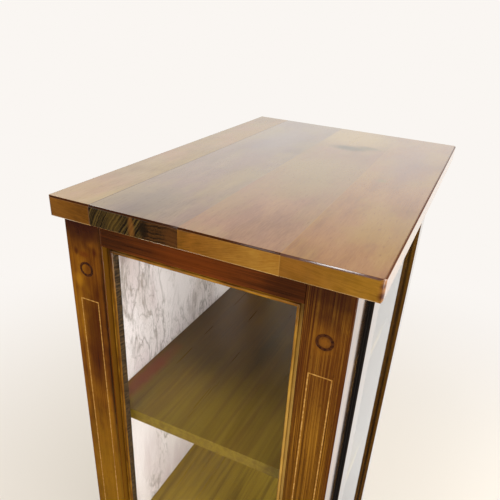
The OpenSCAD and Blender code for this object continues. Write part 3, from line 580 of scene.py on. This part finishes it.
def door_edges(tree, place, colour):
    """Darker towards the glass on the door frame's faces square to X, where the frame meets its glass."""
    parts = add(tree, SPLIT, {}, {"Vector": place})
    front_y, glass_y = -0.1755, -0.1725
    deep = add(tree, RANGE, SMOOTH, {"Value": parts.outputs["Y"], "From Min": front_y,
                                     "From Max": glass_y, "To Max": 0.7})
    return shaded(tree, colour, "#0c0603", deep, facing(tree, "X"))


def door_wood(along):
    """Gloss lacquered brown hardwood of the door's frame."""
    return wood("door_frame_wood_" + along.lower(), along, "#2a1606", "#54360e", "#785618",
                streak=(1.4, 200), band=(6, 380), cloud=(40, 240), roughness=0.09, polish=0.9,
                shift=11.0, bump=0.04, marks=(door_edges,))


def shelf_painted_light(tree, place, colour):
    """Painted warm reflection in gold near the glazed end and on the lower shelves, and a painted red
    reflection along the lining.
    """
    parts = add(tree, SPLIT, {}, {"Vector": place})
    # Soft streaks 8 mm across and 200 mm long keep the painted gold from looking flat
    drawn = add(tree, MAPPING, {}, {"Vector": place, "Scale": (5.0, 125.0, 125.0)})
    gold = mottled(tree, drawn, 1.0, 4.0, (0.3, 0.66), "#84631a", "#9c7e20")
    end_glow, low_glow = (0.02, -0.24), (0.9, 0.75)
    colour = blended(tree, parts.outputs["X"], end_glow, colour, gold, 0.7)
    low_gold = mottled(tree, drawn, 1.0, 4.0, (0.3, 0.66), "#98781a", "#bc9a24")
    colour = blended(tree, parts.outputs["Z"], low_glow, colour, low_gold, 0.82)
    return stained(tree, place, colour, (
        # Painted red reflection along the lining
        ((-0.17, 0.168, 1.058), (0.12, 0.022, 0.03), "#8a4020", 0.85),
        # Darker and reddish patches
        ((-0.09, 0.10, 1.058), (0.06, 0.05, 0.03), "#33240c", 0.3),
        ((-0.02, 0.02, 1.058), (0.09, 0.03, 0.03), "#3a2a0e", 0.5),
        ((0.16, -0.02, 1.058), (0.14, 0.1, 0.03), "#5c3426", 0.6)))


def shelf_wood(along):
    """Satin lacquered dark hardwood shelf, its upper front and end edges painted pale as a highlight."""
    return wood("dark_shelf_wood_" + along.lower(), along, "#3e2a0e", "#604418", "#7a5a20",
                streak=(3, 160), band=(14, 300), cloud=(60, 240), roughness=0.34, level=0.3, shift=12.0,
                weights=(0.3, 0.3, 0.4), pores=0.05, spread=(0.26, 0.74), bump=0.1,
                marks=(shelf_painted_light,),
                arris=("#b8963e", "#5c3c10"),
                end=ring_face("#7a5a1c", "#9a782e", 4.0, (0, 0.0, 0.6), contrast=(0.35, 0.65)))


def turned_wood(along):
    """Dark hardwood, turned and lacquered."""
    return wood("turned_knob_wood", along, "#2c1505", "#4a2a0c", "#6c4418", streak=(1.5, 40),
                band=(5, 60), roughness=0.15, shift=13.0, darkened_arrises=False)


def panel_wood(along):
    """Plain stained plywood, seen only from behind."""
    return wood("stained_plywood", along, "#4e361d", "#6a4c2c", "#84653f", streak=(3, 180),
                band=(22, 500), cloud=(120, 500), roughness=0.55, shift=14.0, bump=0.6)


def dowel_wood(along):
    """Plain beech."""
    return wood("plain_beech", along, "#a87a44", "#c39350", "#d8b27a", roughness=0.5, shift=15.0)


# Other materials

def lacquered(tree, colour):
    """Inputs for an inlay of that colour under smooth lacquer."""
    return {"Base Color": colour, "Roughness": 0.11, "IOR": 1.5, "Coat Roughness": COAT_ROUGHNESS,
            "Coat Weight": mirror_coat(tree, 0.8)}


def string_wood():
    """Pale stringing let in under the lacquer, stained unevenly so that it fades in places."""
    material, tree, coords = blank_material("pale_stringing")
    base = mottled(tree, coords, 260.0, 2.0, (0.35, 0.65), "#986a2c", "#bc8e48")
    colour = mottled(tree, coords, 14.0, 3.0, (0.56, 0.66), base, "#7a4c14", 0.75)
    return surfaced(material, lacquered(tree, colour))


def ring_wood():
    """Dark wood ring under the lacquer, with its own short grain."""
    material, tree, coords = blank_material("dark_ring_inlay")
    colour = mottled(tree, coords, 300.0, 3.0, (0.3, 0.7), "#301607", "#48260e")
    return surfaced(material, lacquered(tree, colour))


def marble_facing():
    """Printed marble-effect facing: white with pink-grey clouds and bundles of fine, wavy grey veins."""
    material, tree, coords = blank_material("marble_effect_facing")
    # The veins run down and a little to one side
    slant = add(tree, MAPPING, {}, {"Vector": coords, "Rotation": (0, math.radians(-14), 0),
                                    "Scale": (1.0, 1.0, 0.3)})
    bent = shaken(tree, slant, 22.0, 5.0, 0.03)
    base = mottled(tree, bent, 12.0, 4.0, (0.45, 0.7), "#f9eaec", "#dcc5c8")
    base = mottled(tree, bent, 8.0, 3.0, (0.55, 0.72), base, "#ab8d80", 0.5)
    where = add(tree, NOISE, {}, {"Vector": slant, "Scale": 9.0, "Detail": 2.0})
    veined = add(tree, RANGE, SMOOTH, {"Value": where, "From Min": 0.46, "From Max": 0.6, "To Min": 0.05})
    for scale, strength in ((24.0, 0.6), (60.0, 0.5), (130.0, 0.3)):
        vein = add(tree, NOISE, {}, {"Vector": bent, "Scale": scale, "Detail": 3.0, "Roughness": 0.55})
        line = add(tree, RANGE, SMOOTH, {"Value": away(tree, vein, 0.5), "From Min": 0.03,
                                         "From Max": 0.0, "To Max": strength})
        base = shaded(tree, base, "#8d7c72", line, veined)
    mauve = ((-0.188, 0.184, 1.285), (0.022, 0.01, 0.03), "#9c8280", 0.6, 0.5)
    base = stained(tree, coords, base, (mauve,))
    return surfaced(material, {"Base Color": base, "Roughness": 0.35, "IOR": 1.5,
                               "Specular IOR Level": 0.4})


def float_glass():
    """Clear float glass. Lamps shine through it, so that what is behind it is lit."""
    material, tree, _ = blank_material("clear_float_glass")
    solid = add(tree, "ShaderNodeBsdfPrincipled", {}, {"Base Color": "#f6fbf8", "Roughness": 0.0,
                                                       "IOR": 1.5, "Transmission Weight": 1.0})
    clear = add(tree, "ShaderNodeBsdfTransparent", {}, {"Color": "#fafcfb"})
    path = add(tree, "ShaderNodeLightPath").outputs
    lighting = add(tree, MATHS, MAXIMUM, {0: path["Is Shadow Ray"], 1: path["Is Diffuse Ray"]})
    both = add(tree, "ShaderNodeMixShader", {}, {0: lighting, 1: solid, 2: clear})
    add(tree, "ShaderNodeOutputMaterial", {}, {"Surface": both})
    return material


def brushed(name, base, rough, direction):
    """Metal brushed along one direction, so that its sheen breaks into fine lines."""
    material, tree, coords = blank_material(name)
    place = add(tree, MAPPING, {}, {"Vector": coords, "Scale": direction})
    lines = add(tree, NOISE, {}, {"Vector": place, "Scale": 1.0, "Detail": 3.0})
    sheen = add(tree, RANGE, SMOOTH, {"Value": lines, "From Min": 0.3, "From Max": 0.7,
                                      "To Min": rough * 0.75, "To Max": rough * 1.3})
    dulled = tuple(0.8 * part for part in linear(base)[:3]) + (1.0,)
    colour = mottled(tree, coords, 90.0, 3.0, (0.35, 0.7), base, dulled)
    bumped = add(tree, "ShaderNodeBump", {}, {"Height": lines, "Distance": 0.02 * MM, "Strength": 0.3})
    return surfaced(material, {"Base Color": colour, "Metallic": 1.0, "Roughness": sheen,
                               "Normal": bumped})


def moulded_plastic():
    """Dark brown moulded plastic with a fine spark texture."""
    material, tree, coords = blank_material("moulded_brown_plastic")
    # The real texture is about 0.1 mm, drawn at 0.5 mm so that it shows
    grit = add(tree, NOISE, {}, {"Vector": coords, "Scale": 2000.0, "Detail": 2.0})
    colour = add(tree, MIX, COLOURS, {0: grit, 6: "#1d1611", 7: "#33281f"})
    bumped = add(tree, "ShaderNodeBump", {}, {"Height": grit, "Distance": 0.05 * MM, "Strength": 0.4})
    return surfaced(material, {"Base Color": colour, "Roughness": 0.5, "Normal": bumped, "IOR": 1.5})


def glazing_seal_and_shade():
    """Matt dark brown glazing seal, a little dusty. Its dark colour also stands in for the shade at the edge
    of the glass.
    """
    material, tree, coords = blank_material("dark_glazing_seal")
    # Short cross ribs, drawn 3 mm apart where the real ones are finer
    place = add(tree, MAPPING, {}, {"Vector": coords, "Scale": (60.0, 60.0, 330.0)})
    colour = mottled(tree, place, 1.0, 3.0, (0.42, 0.62), "#22170a", "#4c3820")
    return surfaced(material, {"Base Color": colour, "Roughness": 0.6, "IOR": 1.5,
                               "Specular IOR Level": 0.1})


def pile_and_gap_shade():
    """Black pile of the dust strip, which takes nearly all light. Its black also stands in for the shade in
    the gap beside the post.
    """
    material, tree, coords = blank_material("black_pile_and_gap_shade")
    fibre = add(tree, NOISE, {}, {"Vector": coords, "Scale": 900.0, "Detail": 2.0})
    colour = add(tree, MIX, COLOURS, {0: fibre, 6: "#0a0705", 7: "#1f1712"})
    return surfaced(material, {"Base Color": colour, "Roughness": 0.9, "IOR": 1.5,
                               "Specular IOR Level": 0.2})


# Pieces

made = {}


def linked(name, data):
    """A new object with that data, put in the scene."""
    thing = bpy.data.objects.new(name, data)
    bpy.context.scene.collection.objects.link(thing)
    return thing


def object_of(name, mesh):
    """A new object made of a working mesh, which is then let go."""
    data = bpy.data.meshes.new(name)
    mesh.to_mesh(data)
    mesh.free()
    return linked(name, data)


def welded(node):
    """A working copy of a CAD node with its doubled points joined."""
    mesh = bmesh.new()
    mesh.from_mesh(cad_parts[node].data)
    bmesh.ops.remove_doubles(mesh, verts=mesh.verts, dist=WELD)
    return mesh


def finish_for(maker, along):
    """The material that a maker gives for one grain direction, made once."""
    key = (maker.__name__, along)
    if key not in made:
        made[key] = maker(along)
    return made[key]


def solids_of(mesh):
    """The separate solids of a mesh, as lists of its faces, in the same order on every run."""
    seen = set()
    groups = []
    for start in mesh.faces:
        if start in seen:
            continue
        seen.add(start)
        group = [start]
        for face in group:
            near = [other for edge in face.edges for other in edge.link_faces]
            for other in near:
                if other not in seen:
                    seen.add(other)
                    group.append(other)
        groups.append(group)
    return groups


def corners(group):
    """Low and high corners of the box round a group of faces."""
    points = [v.co for face in group for v in face.verts]
    low = Vector(min(p[i] for p in points) for i in range(3))
    high = Vector(max(p[i] for p in points) for i in range(3))
    return low, high


def close_faces(point, low, high):
    """The faces of a box that a point lies close to."""
    faces = [(i, side) for i in range(3) for side in (low, high)
             if abs(point[i] - side[i]) < EDGE_REACH]
    return {(i, side is high) for i, side in faces}


def on_corner_line(edge, low, high):
    """True if both ends of an edge lie close to the same two faces of a box."""
    first, second = (close_faces(v.co, low, high) for v in edge.verts)
    return len(first & second) >= 2


def dressed(node, maker, body, edge_round, outer=None):
    """A copy of a CAD node with its long edges rounded and its grain along each solid."""
    mesh = welded(node)
    bmesh.ops.dissolve_limit(mesh, angle_limit=FLAT_ANGLE, verts=mesh.verts,
                             edges=mesh.edges, delimit={"NORMAL"})
    weights = mesh.edges.layers.float.new("bevel_weight_edge")
    order = []
    rounded = set()
    for edge in mesh.edges:
        edge.smooth = len(edge.link_faces) == 2 and edge.calc_face_angle(0) < EDGE_ANGLE
    for group in solids_of(mesh):
        low, high = corners(group)
        size = high - low
        along = "XYZ"[max(range(3), key=lambda i: size[i])]
        if along not in order:
            order.append(along)
        box = outer or (low, high)
        for face in group:
            face.material_index = order.index(along)
            face.smooth = True
            for edge in face.edges:
                if not edge.smooth and on_corner_line(edge, *box):
                    edge[weights] = 1.0
                    rounded.add(edge)
    for edge in rounded:
        edge.smooth = True
    piece = object_of(node + "_finished", mesh)
    for along in order:
        piece.data.materials.append(finish_for(maker, along))
    bevel = piece.modifiers.new("rounding", "BEVEL")
    bevel.limit_method = "WEIGHT"
    bevel.width = edge_round
    bevel.segments = 2
    bevel.use_clamp_overlap = False
    apply_modifiers(piece)
    level_flats(piece.data)
    place_piece(piece, body, node)


def level_flats(data):
    """Shades flat faces flat, and lets the rounded edges run smoothly into them."""
    data.set_sharp_from_angle(angle=SHARP_ANGLE)
    normals = [corner.vector.copy() for corner in data.corner_normals]
    flats = {}
    for face in data.polygons:
        if max(abs(c) for c in face.normal) > SQUARE_ENOUGH:
            for vertex in face.vertices:
                flats.setdefault(vertex, []).append(face.normal.copy())
    for face in data.polygons:
        for corner, vertex in zip(face.loop_indices, face.vertices):
            near = [n for n in flats.get(vertex, ()) if face.normal.dot(n) > math.cos(SHARP_ANGLE)]
            if near:
                normals[corner] = max(near, key=face.normal.dot)
    data.normals_split_custom_set(normals)


def apply_modifiers(piece):
    """Turns what the modifiers show into the piece's own mesh."""
    graph = bpy.context.evaluated_depsgraph_get()
    result = bpy.data.meshes.new_from_object(piece.evaluated_get(graph), depsgraph=graph)
    old = piece.data
    piece.modifiers.clear()
    piece.data = result
    bpy.data.meshes.remove(old)


def place_piece(piece, body, node):
    """Ties a finished piece to its body, in place of its CAD node."""
    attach(piece, body)
    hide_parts(node)


def lathe(name, outline, steps=48, start=(0, 0, 0), direction=(0, 0, 1)):
    """A turned piece: an outline of (radius, distance) points spun about a line."""
    mesh = bmesh.new()
    turn = Vector((0, 0, 1)).rotation_difference(Vector(direction)).to_matrix().to_4x4()
    place = Matrix.Translation(start) @ turn
    rings = []
    for radius, along in outline:
        if radius < ON_AXIS:
            rings.append([mesh.verts.new(place @ Vector((0, 0, along)))])
            continue
        angles = [2 * math.pi * i / steps for i in range(steps)]
        rings.append([mesh.verts.new(place @ Vector((radius * math.cos(a), radius * math.sin(a), along)))
                      for a in angles])
    for first, second in zip(rings, rings[1:]):
        for i in range(steps):
            j = (i + 1) % steps
            corner = [first[i % len(first)], first[j % len(first)],
                      second[j % len(second)], second[i % len(second)]]
            unique = list(dict.fromkeys(corner))
            if len(unique) > 2:
                mesh.faces.new(unique)
    bmesh.ops.recalc_face_normals(mesh, faces=mesh.faces)
    for face in mesh.faces:
        face.smooth = True
    piece = object_of(name, mesh)
    piece.data.set_sharp_from_angle(angle=SMOOTH_ANGLE)
    return piece


def flush_copy(node, material, body):
    """A copy of a CAD node whose flat faces are shaded flat, as they lie flush in polished wood."""
    mesh = welded(node)
    bmesh.ops.recalc_face_normals(mesh, faces=mesh.faces)
    for face in mesh.faces:
        face.smooth = True
        face.material_index = 0
    piece = object_of(node + "_finished", mesh)
    piece.data.set_sharp_from_angle(angle=SMOOTH_ANGLE)
    piece.data.materials.append(material)
    place_piece(piece, body, node)


def coat(node, material):
    """Gives a CAD node that stays its finished material."""
    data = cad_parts[node].data
    data.materials.clear()
    data.materials.append(material)


# Wooden pieces that are finished by hand: finish, material slot, body and CAD nodes
WOODEN = (
    (post_wood, "post_wood", "carcass", ("post_front_left", "post_front_right")),
    (stile_wood, "post_wood", "carcass", ("stile_back_left", "stile_back_right")),
    (rail_wood, "rail_wood", "carcass",
     ("rail_top_left", "rail_top_right", "rail_bottom_left", "rail_bottom_right", "rail_top_front",
      "rail_bottom_front", "rail_top_back", "rail_bottom_back")),
    (shelf_wood, "shelf_wood", "carcass", ("bottom_board",)),
    (rail_wood, "rail_wood", "carcass", ("bottom_cleats",)),
    (shelf_wood, "shelf_wood", "carcass", ("shelf_upper", "shelf_middle", "shelf_lower")),
    (rail_wood, "rail_wood", "carcass", ("door_stop",)),
    (door_wood, "door_wood", "door",
     ("door_stile_left", "door_stile_right", "door_rail_top", "door_rail_bottom")),
)
MOULDINGS = (
    (bead_wood, "bead_wood", "carcass", ("outer_beads_left", "outer_beads_right")),
    (inner_bead_wood, "inner_bead_wood", "carcass", ("inner_beads_left", "inner_beads_right")),
    (inner_bead_wood, "inner_bead_wood", "door", ("door_beads",)),
)
TOP_BOARDS = (
    (top_back_board, "top_wood_back", "top_board_back"),
    (top_mid_back_board, "top_wood_mid_back", "top_board_mid_back"),
    (top_mid_front_board, "top_wood_mid_front", "top_board_mid_front"),
    (top_front_board, "top_wood_front", "top_board_front"),
)

for group, edge_round in ((WOODEN, EDGE_ROUND), (MOULDINGS, MOULDING_ROUND)):
    for maker, slot, body, nodes in group:
        for node in nodes:
            dressed(node, maker, body, edge_round)
top_low = Vector((cad_low.x, cad_low.y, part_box("top_board_front")[0].z))
top_box = (top_low, cad_high)
for maker, slot, node in TOP_BOARDS:
    dressed(node, maker, "carcass", TOP_ROUND, top_box)

flush_copy("string_inlays", string_wood(), "carcass")
flush_copy("ring_inlays", ring_wood(), "carcass")

# CAD nodes that stay as they are
glass = float_glass()
brass = brushed("brushed_brass", "#c9a05a", 0.3, (2000.0, 60.0, 2000.0))
steel = brushed("zinc_plated_steel", "#b9babb", 0.35, (300.0, 300.0, 300.0))
plastic = moulded_plastic()
seal = glazing_seal_and_shade()
for side in ("left", "right"):
    coat("sealing_strips_" + side, seal)
coat("marble_lining", marble_facing())
coat("back_panel", finish_for(panel_wood, "Z"))
coat("top_dowels", finish_for(dowel_wood, "Z"))
for node in ("glass_left", "glass_right", "door_glass"):
    coat(node, glass)
for node in ("pivot_plate_top", "pivot_plate_bottom", "pivot_washer",
             "door_plate_top", "door_plate_bottom"):
    coat(node, brass)
for node in ("catch_magnet", "strike_plate", "knob_screw"):
    coat(node, steel)
coat("magnetic_catch", plastic)


# Pieces that repeat, set out with geometry nodes

REPEAT_SEED = 7


def repeat_tree():
    """Geometry nodes that set a part on every point, aimed along the point's "way"."""
    tree = bpy.data.node_groups.new("repeat_part", "GeometryNodeTree")
    sockets = (("Points", "INPUT", "NodeSocketGeometry"), ("Part", "INPUT", "NodeSocketObject"),
               ("Backing", "INPUT", "NodeSocketObject"), ("Twist", "INPUT", "NodeSocketFloat"),
               ("Seed", "INPUT", "NodeSocketInt"), ("Finish", "INPUT", "NodeSocketMaterial"),
               ("Pieces", "OUTPUT", "NodeSocketGeometry"))
    for name, use, kind in sockets:
        tree.interface.new_socket(name=name, in_out=use, socket_type=kind)
    given = add(tree, "NodeGroupInput").outputs
    way = add(tree, "GeometryNodeInputNamedAttribute", {"data_type": "FLOAT_VECTOR"}, {"Name": "way"})
    aimed = add(tree, "FunctionNodeAlignRotationToVector", {"axis": "Z"},
                {"Vector": way.outputs["Attribute"]})
    # Sockets 3 and 8 of this node are the highest number and the seed
    chance = add(tree, "FunctionNodeRandomValue", {"data_type": "FLOAT"},
                 {3: given["Twist"], 8: given["Seed"]})
    spin = add(tree, "ShaderNodeCombineXYZ", {}, {"Z": chance})
    spun = add(tree, "FunctionNodeEulerToRotation", {}, {"Euler": spin})
    turned = add(tree, "FunctionNodeRotateRotation", {"rotation_space": "LOCAL"},
                 {"Rotation": aimed, "Rotate By": spun})
    part = add(tree, "GeometryNodeObjectInfo", {}, {"Object": given["Part"]})
    placed = add(tree, "GeometryNodeInstanceOnPoints", {},
                 {"Points": given["Points"], "Instance": part.outputs["Geometry"],
                  "Rotation": turned})
    backing = add(tree, "GeometryNodeObjectInfo", {}, {"Object": given["Backing"]})
    joined = add(tree, "GeometryNodeJoinGeometry", {}, {0: placed})
    tree.links.new(backing.outputs["Geometry"], joined.inputs[0])
    real = add(tree, "GeometryNodeRealizeInstances", {}, {"Geometry": joined})
    final = add(tree, "GeometryNodeSetMaterial", {},
                {"Geometry": real, "Material": given["Finish"]})
    add(tree, "NodeGroupOutput", {}, {"Pieces": final})
    return tree


def repeated(node, body, part, places, finish, twist=0.0, backing=None):
    """One finished piece made of a part at every (place, way)."""
    data = bpy.data.meshes.new(node + "_finished")
    data.from_pydata([place for place, way in places], [], [])
    ways = data.attributes.new("way", "FLOAT_VECTOR", "POINT")
    for element, (place, way) in zip(ways.data, places):
        element.vector = way
    piece = linked(node + "_finished", data)
    repeats = piece.modifiers.new("repeats", "NODES")
    repeats.node_group = repeats_tree
    values = {"Part": part, "Backing": backing, "Twist": twist, "Seed": REPEAT_SEED, "Finish": finish}
    for socket in repeats_tree.interface.items_tree:
        if values.get(socket.name) is not None:
            repeats[socket.identifier] = values[socket.name]
    apply_modifiers(piece)
    for used in (part, backing):
        if used:
            bpy.data.objects.remove(used)
    if "way" in piece.data.attributes:
        piece.data.attributes.remove(piece.data.attributes["way"])
    place_piece(piece, body, node)


def solid_boxes(node):
    """Low and high corners of each solid of a CAD node."""
    mesh = welded(node)
    boxes = [corners(group) for group in solids_of(mesh)]
    mesh.free()
    return boxes


def in_metres(outline_mm):
    """An outline drawn in millimetres, in metres."""
    return [(radius * MM, along * MM) for radius, along in outline_mm]


def block(name, low, high):
    """A box between two corners, used as a cutter or a backing."""
    mesh = bmesh.new()
    bmesh.ops.create_cube(mesh, size=1.0)
    for vertex in mesh.verts:
        vertex.co = Vector(low[i] + (high[i] - low[i]) * (vertex.co[i] + 0.5) for i in range(3))
    return object_of(name, mesh)


def shelf_pins():
    """Brass pins with a chamfered nose and a fine groove where they leave the wood."""
    boxes = solid_boxes("shelf_pins")
    low, high = boxes[0]
    length = (high.x - low.x) / MM
    radius = (high.z - low.z) / 2 / MM
    seat = 10
    outline = [(0, 0), (radius - 0.6, 0), (radius, 0.6), (radius, seat - 0.2), (radius - 0.3, seat),
               (radius - 0.3, seat + 0.6), (radius, seat + 0.8), (radius, length - 0.8),
               (radius - 0.8, length), (0, length)]
    part = lathe("pin_part", in_metres(outline), 20)
    places = []
    for low, high in boxes:
        middle = (low + high) / 2
        side = -1 if middle.x < 0 else 1
        start = low.x if side < 0 else high.x
        places.append(((start, middle.y, middle.z), (-side, 0, 0)))
    repeated("shelf_pins", "carcass", part, places, brass)


def slotted_screws(node, body, inward):
    """Countersunk brass screws with a slot. Those above the middle run up where inward is 1."""
    boxes = solid_boxes(node)
    low, high = boxes[0]
    length = (high.z - low.z) / MM
    head = (high.x - low.x) / 2 / MM
    shank = head / 2
    outline = [(0, 0), (head - 0.15, 0), (head, 0.12), (shank, head - shank)]
    pitch = 0.8
    turns = int((length - 2.6 - head + shank) / pitch)
    for i in range(turns):
        start = head - shank + 0.4 + i * pitch
        outline += [(shank, start), (shank - 0.25, start + 0.5 * pitch)]
    outline += [(shank, length - 1.8), (0.2, length - 0.1), (0, length)]
    part = lathe("screw_part", in_metres(outline), 24)
    low_corner = (-2 * head * MM, -0.4 * MM, -1 * MM)
    high_corner = (2 * head * MM, 0.4 * MM, 0.9 * MM)
    cutter = block("slot_cutter", low_corner, high_corner)
    slot = part.modifiers.new("slot", "BOOLEAN")
    slot.operation = "DIFFERENCE"
    slot.object = cutter
    apply_modifiers(part)
    bpy.data.objects.remove(cutter)
    places = []
    for low, high in boxes:
        middle = (low + high) / 2
        way = inward if middle.z > cad_high.z / 2 else -inward
        places.append(((middle.x, middle.y, low.z if way > 0 else high.z), (0, 0, way)))
    repeated(node, body, part, places, brass, twist=math.pi)


def foot_glides():
    """Plastic glides with a rounded rim and a flat, slightly dished foot."""
    boxes = solid_boxes("foot_glides")
    low, high = boxes[0]
    radius = (high.x - low.x) / 2 / MM
    length = (high.z - low.z) / MM
    rim = [(radius - 1.5 + 1.5 * math.cos(a), 1.5 + 1.5 * math.sin(a))
           for a in [math.radians(-90 + 15 * i) for i in range(7)]]
    outline = [(0, 0.4), (radius - 4, 0.4), (radius - 3.6, 0)] + rim
    outline += [(radius, 4.2), (radius - 0.8, 5), (1.5, 5), (1.5, length - 1), (0, length)]
    part = lathe("glide_part", in_metres(outline), 40)
    places = [(((low.x + high.x) / 2, (low.y + high.y) / 2, low.z), (0, 0, 1)) for low, high in boxes]
    repeated("foot_glides", "carcass", part, places, plastic)


def door_seal():
    """Dust strip: a thin backing with rows of short tufts, drawn coarser than the real pile."""
    low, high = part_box("door_seal")
    step = 3 * MM
    backing_t = 0.3 * MM
    tuft = (high.x - low.x) - backing_t
    back_x = high.x - backing_t
    outline = [(0, -0.1 * MM), (1.2 * MM, 0), (1.3 * MM, 0.45 * tuft), (0.7 * MM, 0.85 * tuft), (0, tuft)]
    part = lathe("tuft_part", outline, 6)
    rows = int((high.z - low.z) / step) - 1
    columns = int((high.y - low.y) / step)
    first_y = (low.y + high.y - (columns - 1) * step) / 2
    first_z = (low.z + high.z - (rows - 1) * step) / 2
    places = [((back_x, first_y + c * step, first_z + r * step), (-1, 0, 0))
              for r in range(rows) for c in range(columns)]
    backing = block("seal_backing", (back_x, low.y, low.z), tuple(high))
    repeated("door_seal", "door", part, places, pile_and_gap_shade(),
             twist=2 * math.pi, backing=backing)


repeats_tree = repeat_tree()
shelf_pins()
slotted_screws("frame_screws", "carcass", 1)
slotted_screws("door_screws", "door", -1)
foot_glides()
door_seal()


def turned_knob():
    """The knob with its curves drawn fully: foot, hollow neck and domed head."""
    low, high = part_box("door_knob")
    radius = (high.x - low.x) / 2
    length = high.y - low.y
    centre_x = (low.x + high.x) / 2
    centre_z = (low.z + high.z) / 2
    outline = [(0, 0), (0.65 * radius, 0), (0.65 * radius, 0.1 * length), (0.6 * radius, 0.15 * length)]
    for i in range(1, 5):
        a = math.pi * i / 8
        neck = length * (0.15 + 0.1 * (1 + math.sin(a - math.pi / 2)))
        outline.append((radius * (0.45 + 0.15 * math.cos(a)), neck))
    head = 0.68 * length
    outline += [(radius * math.cos(a), head + (length - head) * math.sin(a))
                for a in [math.radians(-60 + 7.5 * i) for i in range(20)]]
    outline.append((0, length))
    knob = lathe("turned_knob", outline, start=(centre_x, high.y, centre_z), direction=(0, -1, 0))
    knob.data.materials.append(finish_for(turned_wood, "Y"))
    place_piece(knob, "door", "door_knob")


turned_knob()


# Stage: floor, daylight and soft lamps

def floor_material():
    """Plain pale floor. Far off it turns into the background, so that no horizon shows.
    In reflections it is bright beyond the cabinet and dim behind the camera, as in a room lit from
    its far side."""
    material, tree, coords = blank_material("pale_floor")
    matt = add(tree, "ShaderNodeBsdfDiffuse", {}, {"Color": "#ece6dc"})
    away_m = add(tree, VECTORS, LENGTH, {0: coords})
    parts = add(tree, SPLIT, {}, {"Vector": coords})
    path = add(tree, "ShaderNodeLightPath").outputs
    seen = add(tree, MATHS, MAXIMUM, {0: path["Is Camera Ray"], 1: path["Is Transmission Ray"]})
    distant = add(tree, RANGE, SMOOTH, {"Value": away_m, "From Min": 0.7, "From Max": 2.6})
    far = add(tree, MATHS, MULTIPLY, {0: distant, 1: seen})
    share = add(tree, MATHS, MAXIMUM, {0: far, 1: path["Is Glossy Ray"]})
    lit = add(tree, RANGE, SMOOTH, {"Value": parts.outputs["X"], "From Min": -0.6, "From Max": 1.0,
                                    "To Min": 0.07, "To Max": 0.97})
    strength = add(tree, MIX, COLOURS, {0: path["Is Glossy Ray"], 6: "#ffffff", 7: lit})
    bright = add(tree, "ShaderNodeEmission", {}, {"Color": BACKGROUND, "Strength": strength})
    both = add(tree, "ShaderNodeMixShader", {}, {0: share, 1: matt, 2: bright})
    add(tree, "ShaderNodeOutputMaterial", {}, {"Surface": both})
    return material


def make_floor():
    """A floor wide enough for its edge to lie in the background."""
    half = 30.0
    data = bpy.data.meshes.new("floor")
    data.from_pydata([(-half, -half, 0), (half, -half, 0), (half, half, 0), (-half, half, 0)],
                     [], [(0, 1, 2, 3)])
    data.materials.append(floor_material())
    floor = linked("floor", data)


def make_world():
    """Pale room: soft light on the object, and the plain background wherever it is seen."""
    world = bpy.data.worlds.new("pale_room")
    bpy.context.scene.world = world
    world.use_nodes = True
    tree = world.node_tree
    tree.nodes.clear()
    path = add(tree, "ShaderNodeLightPath").outputs
    bounced = add(tree, MATHS, MAXIMUM, {0: path["Is Glossy Ray"], 1: path["Is Transmission Ray"]})
    seen = add(tree, MATHS, MAXIMUM, {0: path["Is Camera Ray"], 1: bounced})
    light = add(tree, "ShaderNodeBackground", {}, {"Color": "#fffaf4", "Strength": 0.55})
    shown = add(tree, "ShaderNodeBackground", {}, {"Color": BACKGROUND, "Strength": 1.0})
    both = add(tree, "ShaderNodeMixShader", {}, {0: seen, 1: light, 2: shown})
    add(tree, "ShaderNodeOutputWorld", {}, {"Surface": both})


def softbox(name, place, target, size, power):
    """A soft rectangular lamp of that size in metres and power in watts, aimed at a point."""
    data = bpy.data.lights.new(name, "AREA")
    data.shape = "RECTANGLE"
    data.size, data.size_y = size
    data.energy = power
    lamp = linked(name, data)
    lamp.location = place
    lamp.rotation_euler = (Vector(target) - Vector(place)).to_track_quat("-Z", "Y").to_euler()


def make_camera():
    """The camera that took the photograph, as solved from it."""
    data = bpy.data.cameras.new("camera")
    data.sensor_width = SENSOR_MM
    data.lens = LENS_MM
    data.shift_x = SHIFT_X
    data.shift_y = SHIFT_Y
    camera = linked("camera", data)
    ahead = Vector((math.cos(CAMERA_TILT) * math.cos(CAMERA_HEADING),
                    math.cos(CAMERA_TILT) * math.sin(CAMERA_HEADING), math.sin(CAMERA_TILT)))
    level = Vector((math.sin(CAMERA_HEADING), -math.cos(CAMERA_HEADING), 0))
    down = ahead.cross(level)
    right = math.cos(CAMERA_ROLL) * level - math.sin(CAMERA_ROLL) * down
    up = -(math.sin(CAMERA_ROLL) * level + math.cos(CAMERA_ROLL) * down)
    axes = Matrix((right, up, -ahead)).transposed().to_4x4()
    camera.matrix_world = Matrix.Translation(CAMERA_PLACE) @ axes
    bpy.context.scene.camera = camera


make_floor()
make_world()
softbox("overhead", (-1.03, 0.21, 2.81), (-0.3, -0.1, 1.4), (0.5, 0.37), 13)
softbox("left", (-1.8, -2.55, 1.5), (0, 0, 1.0), (1.5, 1.5), 72)
softbox("front", (-0.5, -2.7, 0.8), (0, 0, 1.0), (2.0, 0.9), 30)
softbox("right", (1.5, -2.7, 1.3), (-0.1, 0, 1.1), (1.2, 1.2), 46)
softbox("behind", (0.9, 3.0, 2.0), (0, 0, 0.8), (1.8, 1.8), 26)
make_camera()
bpy.context.scene.view_settings.view_transform = "Standard"
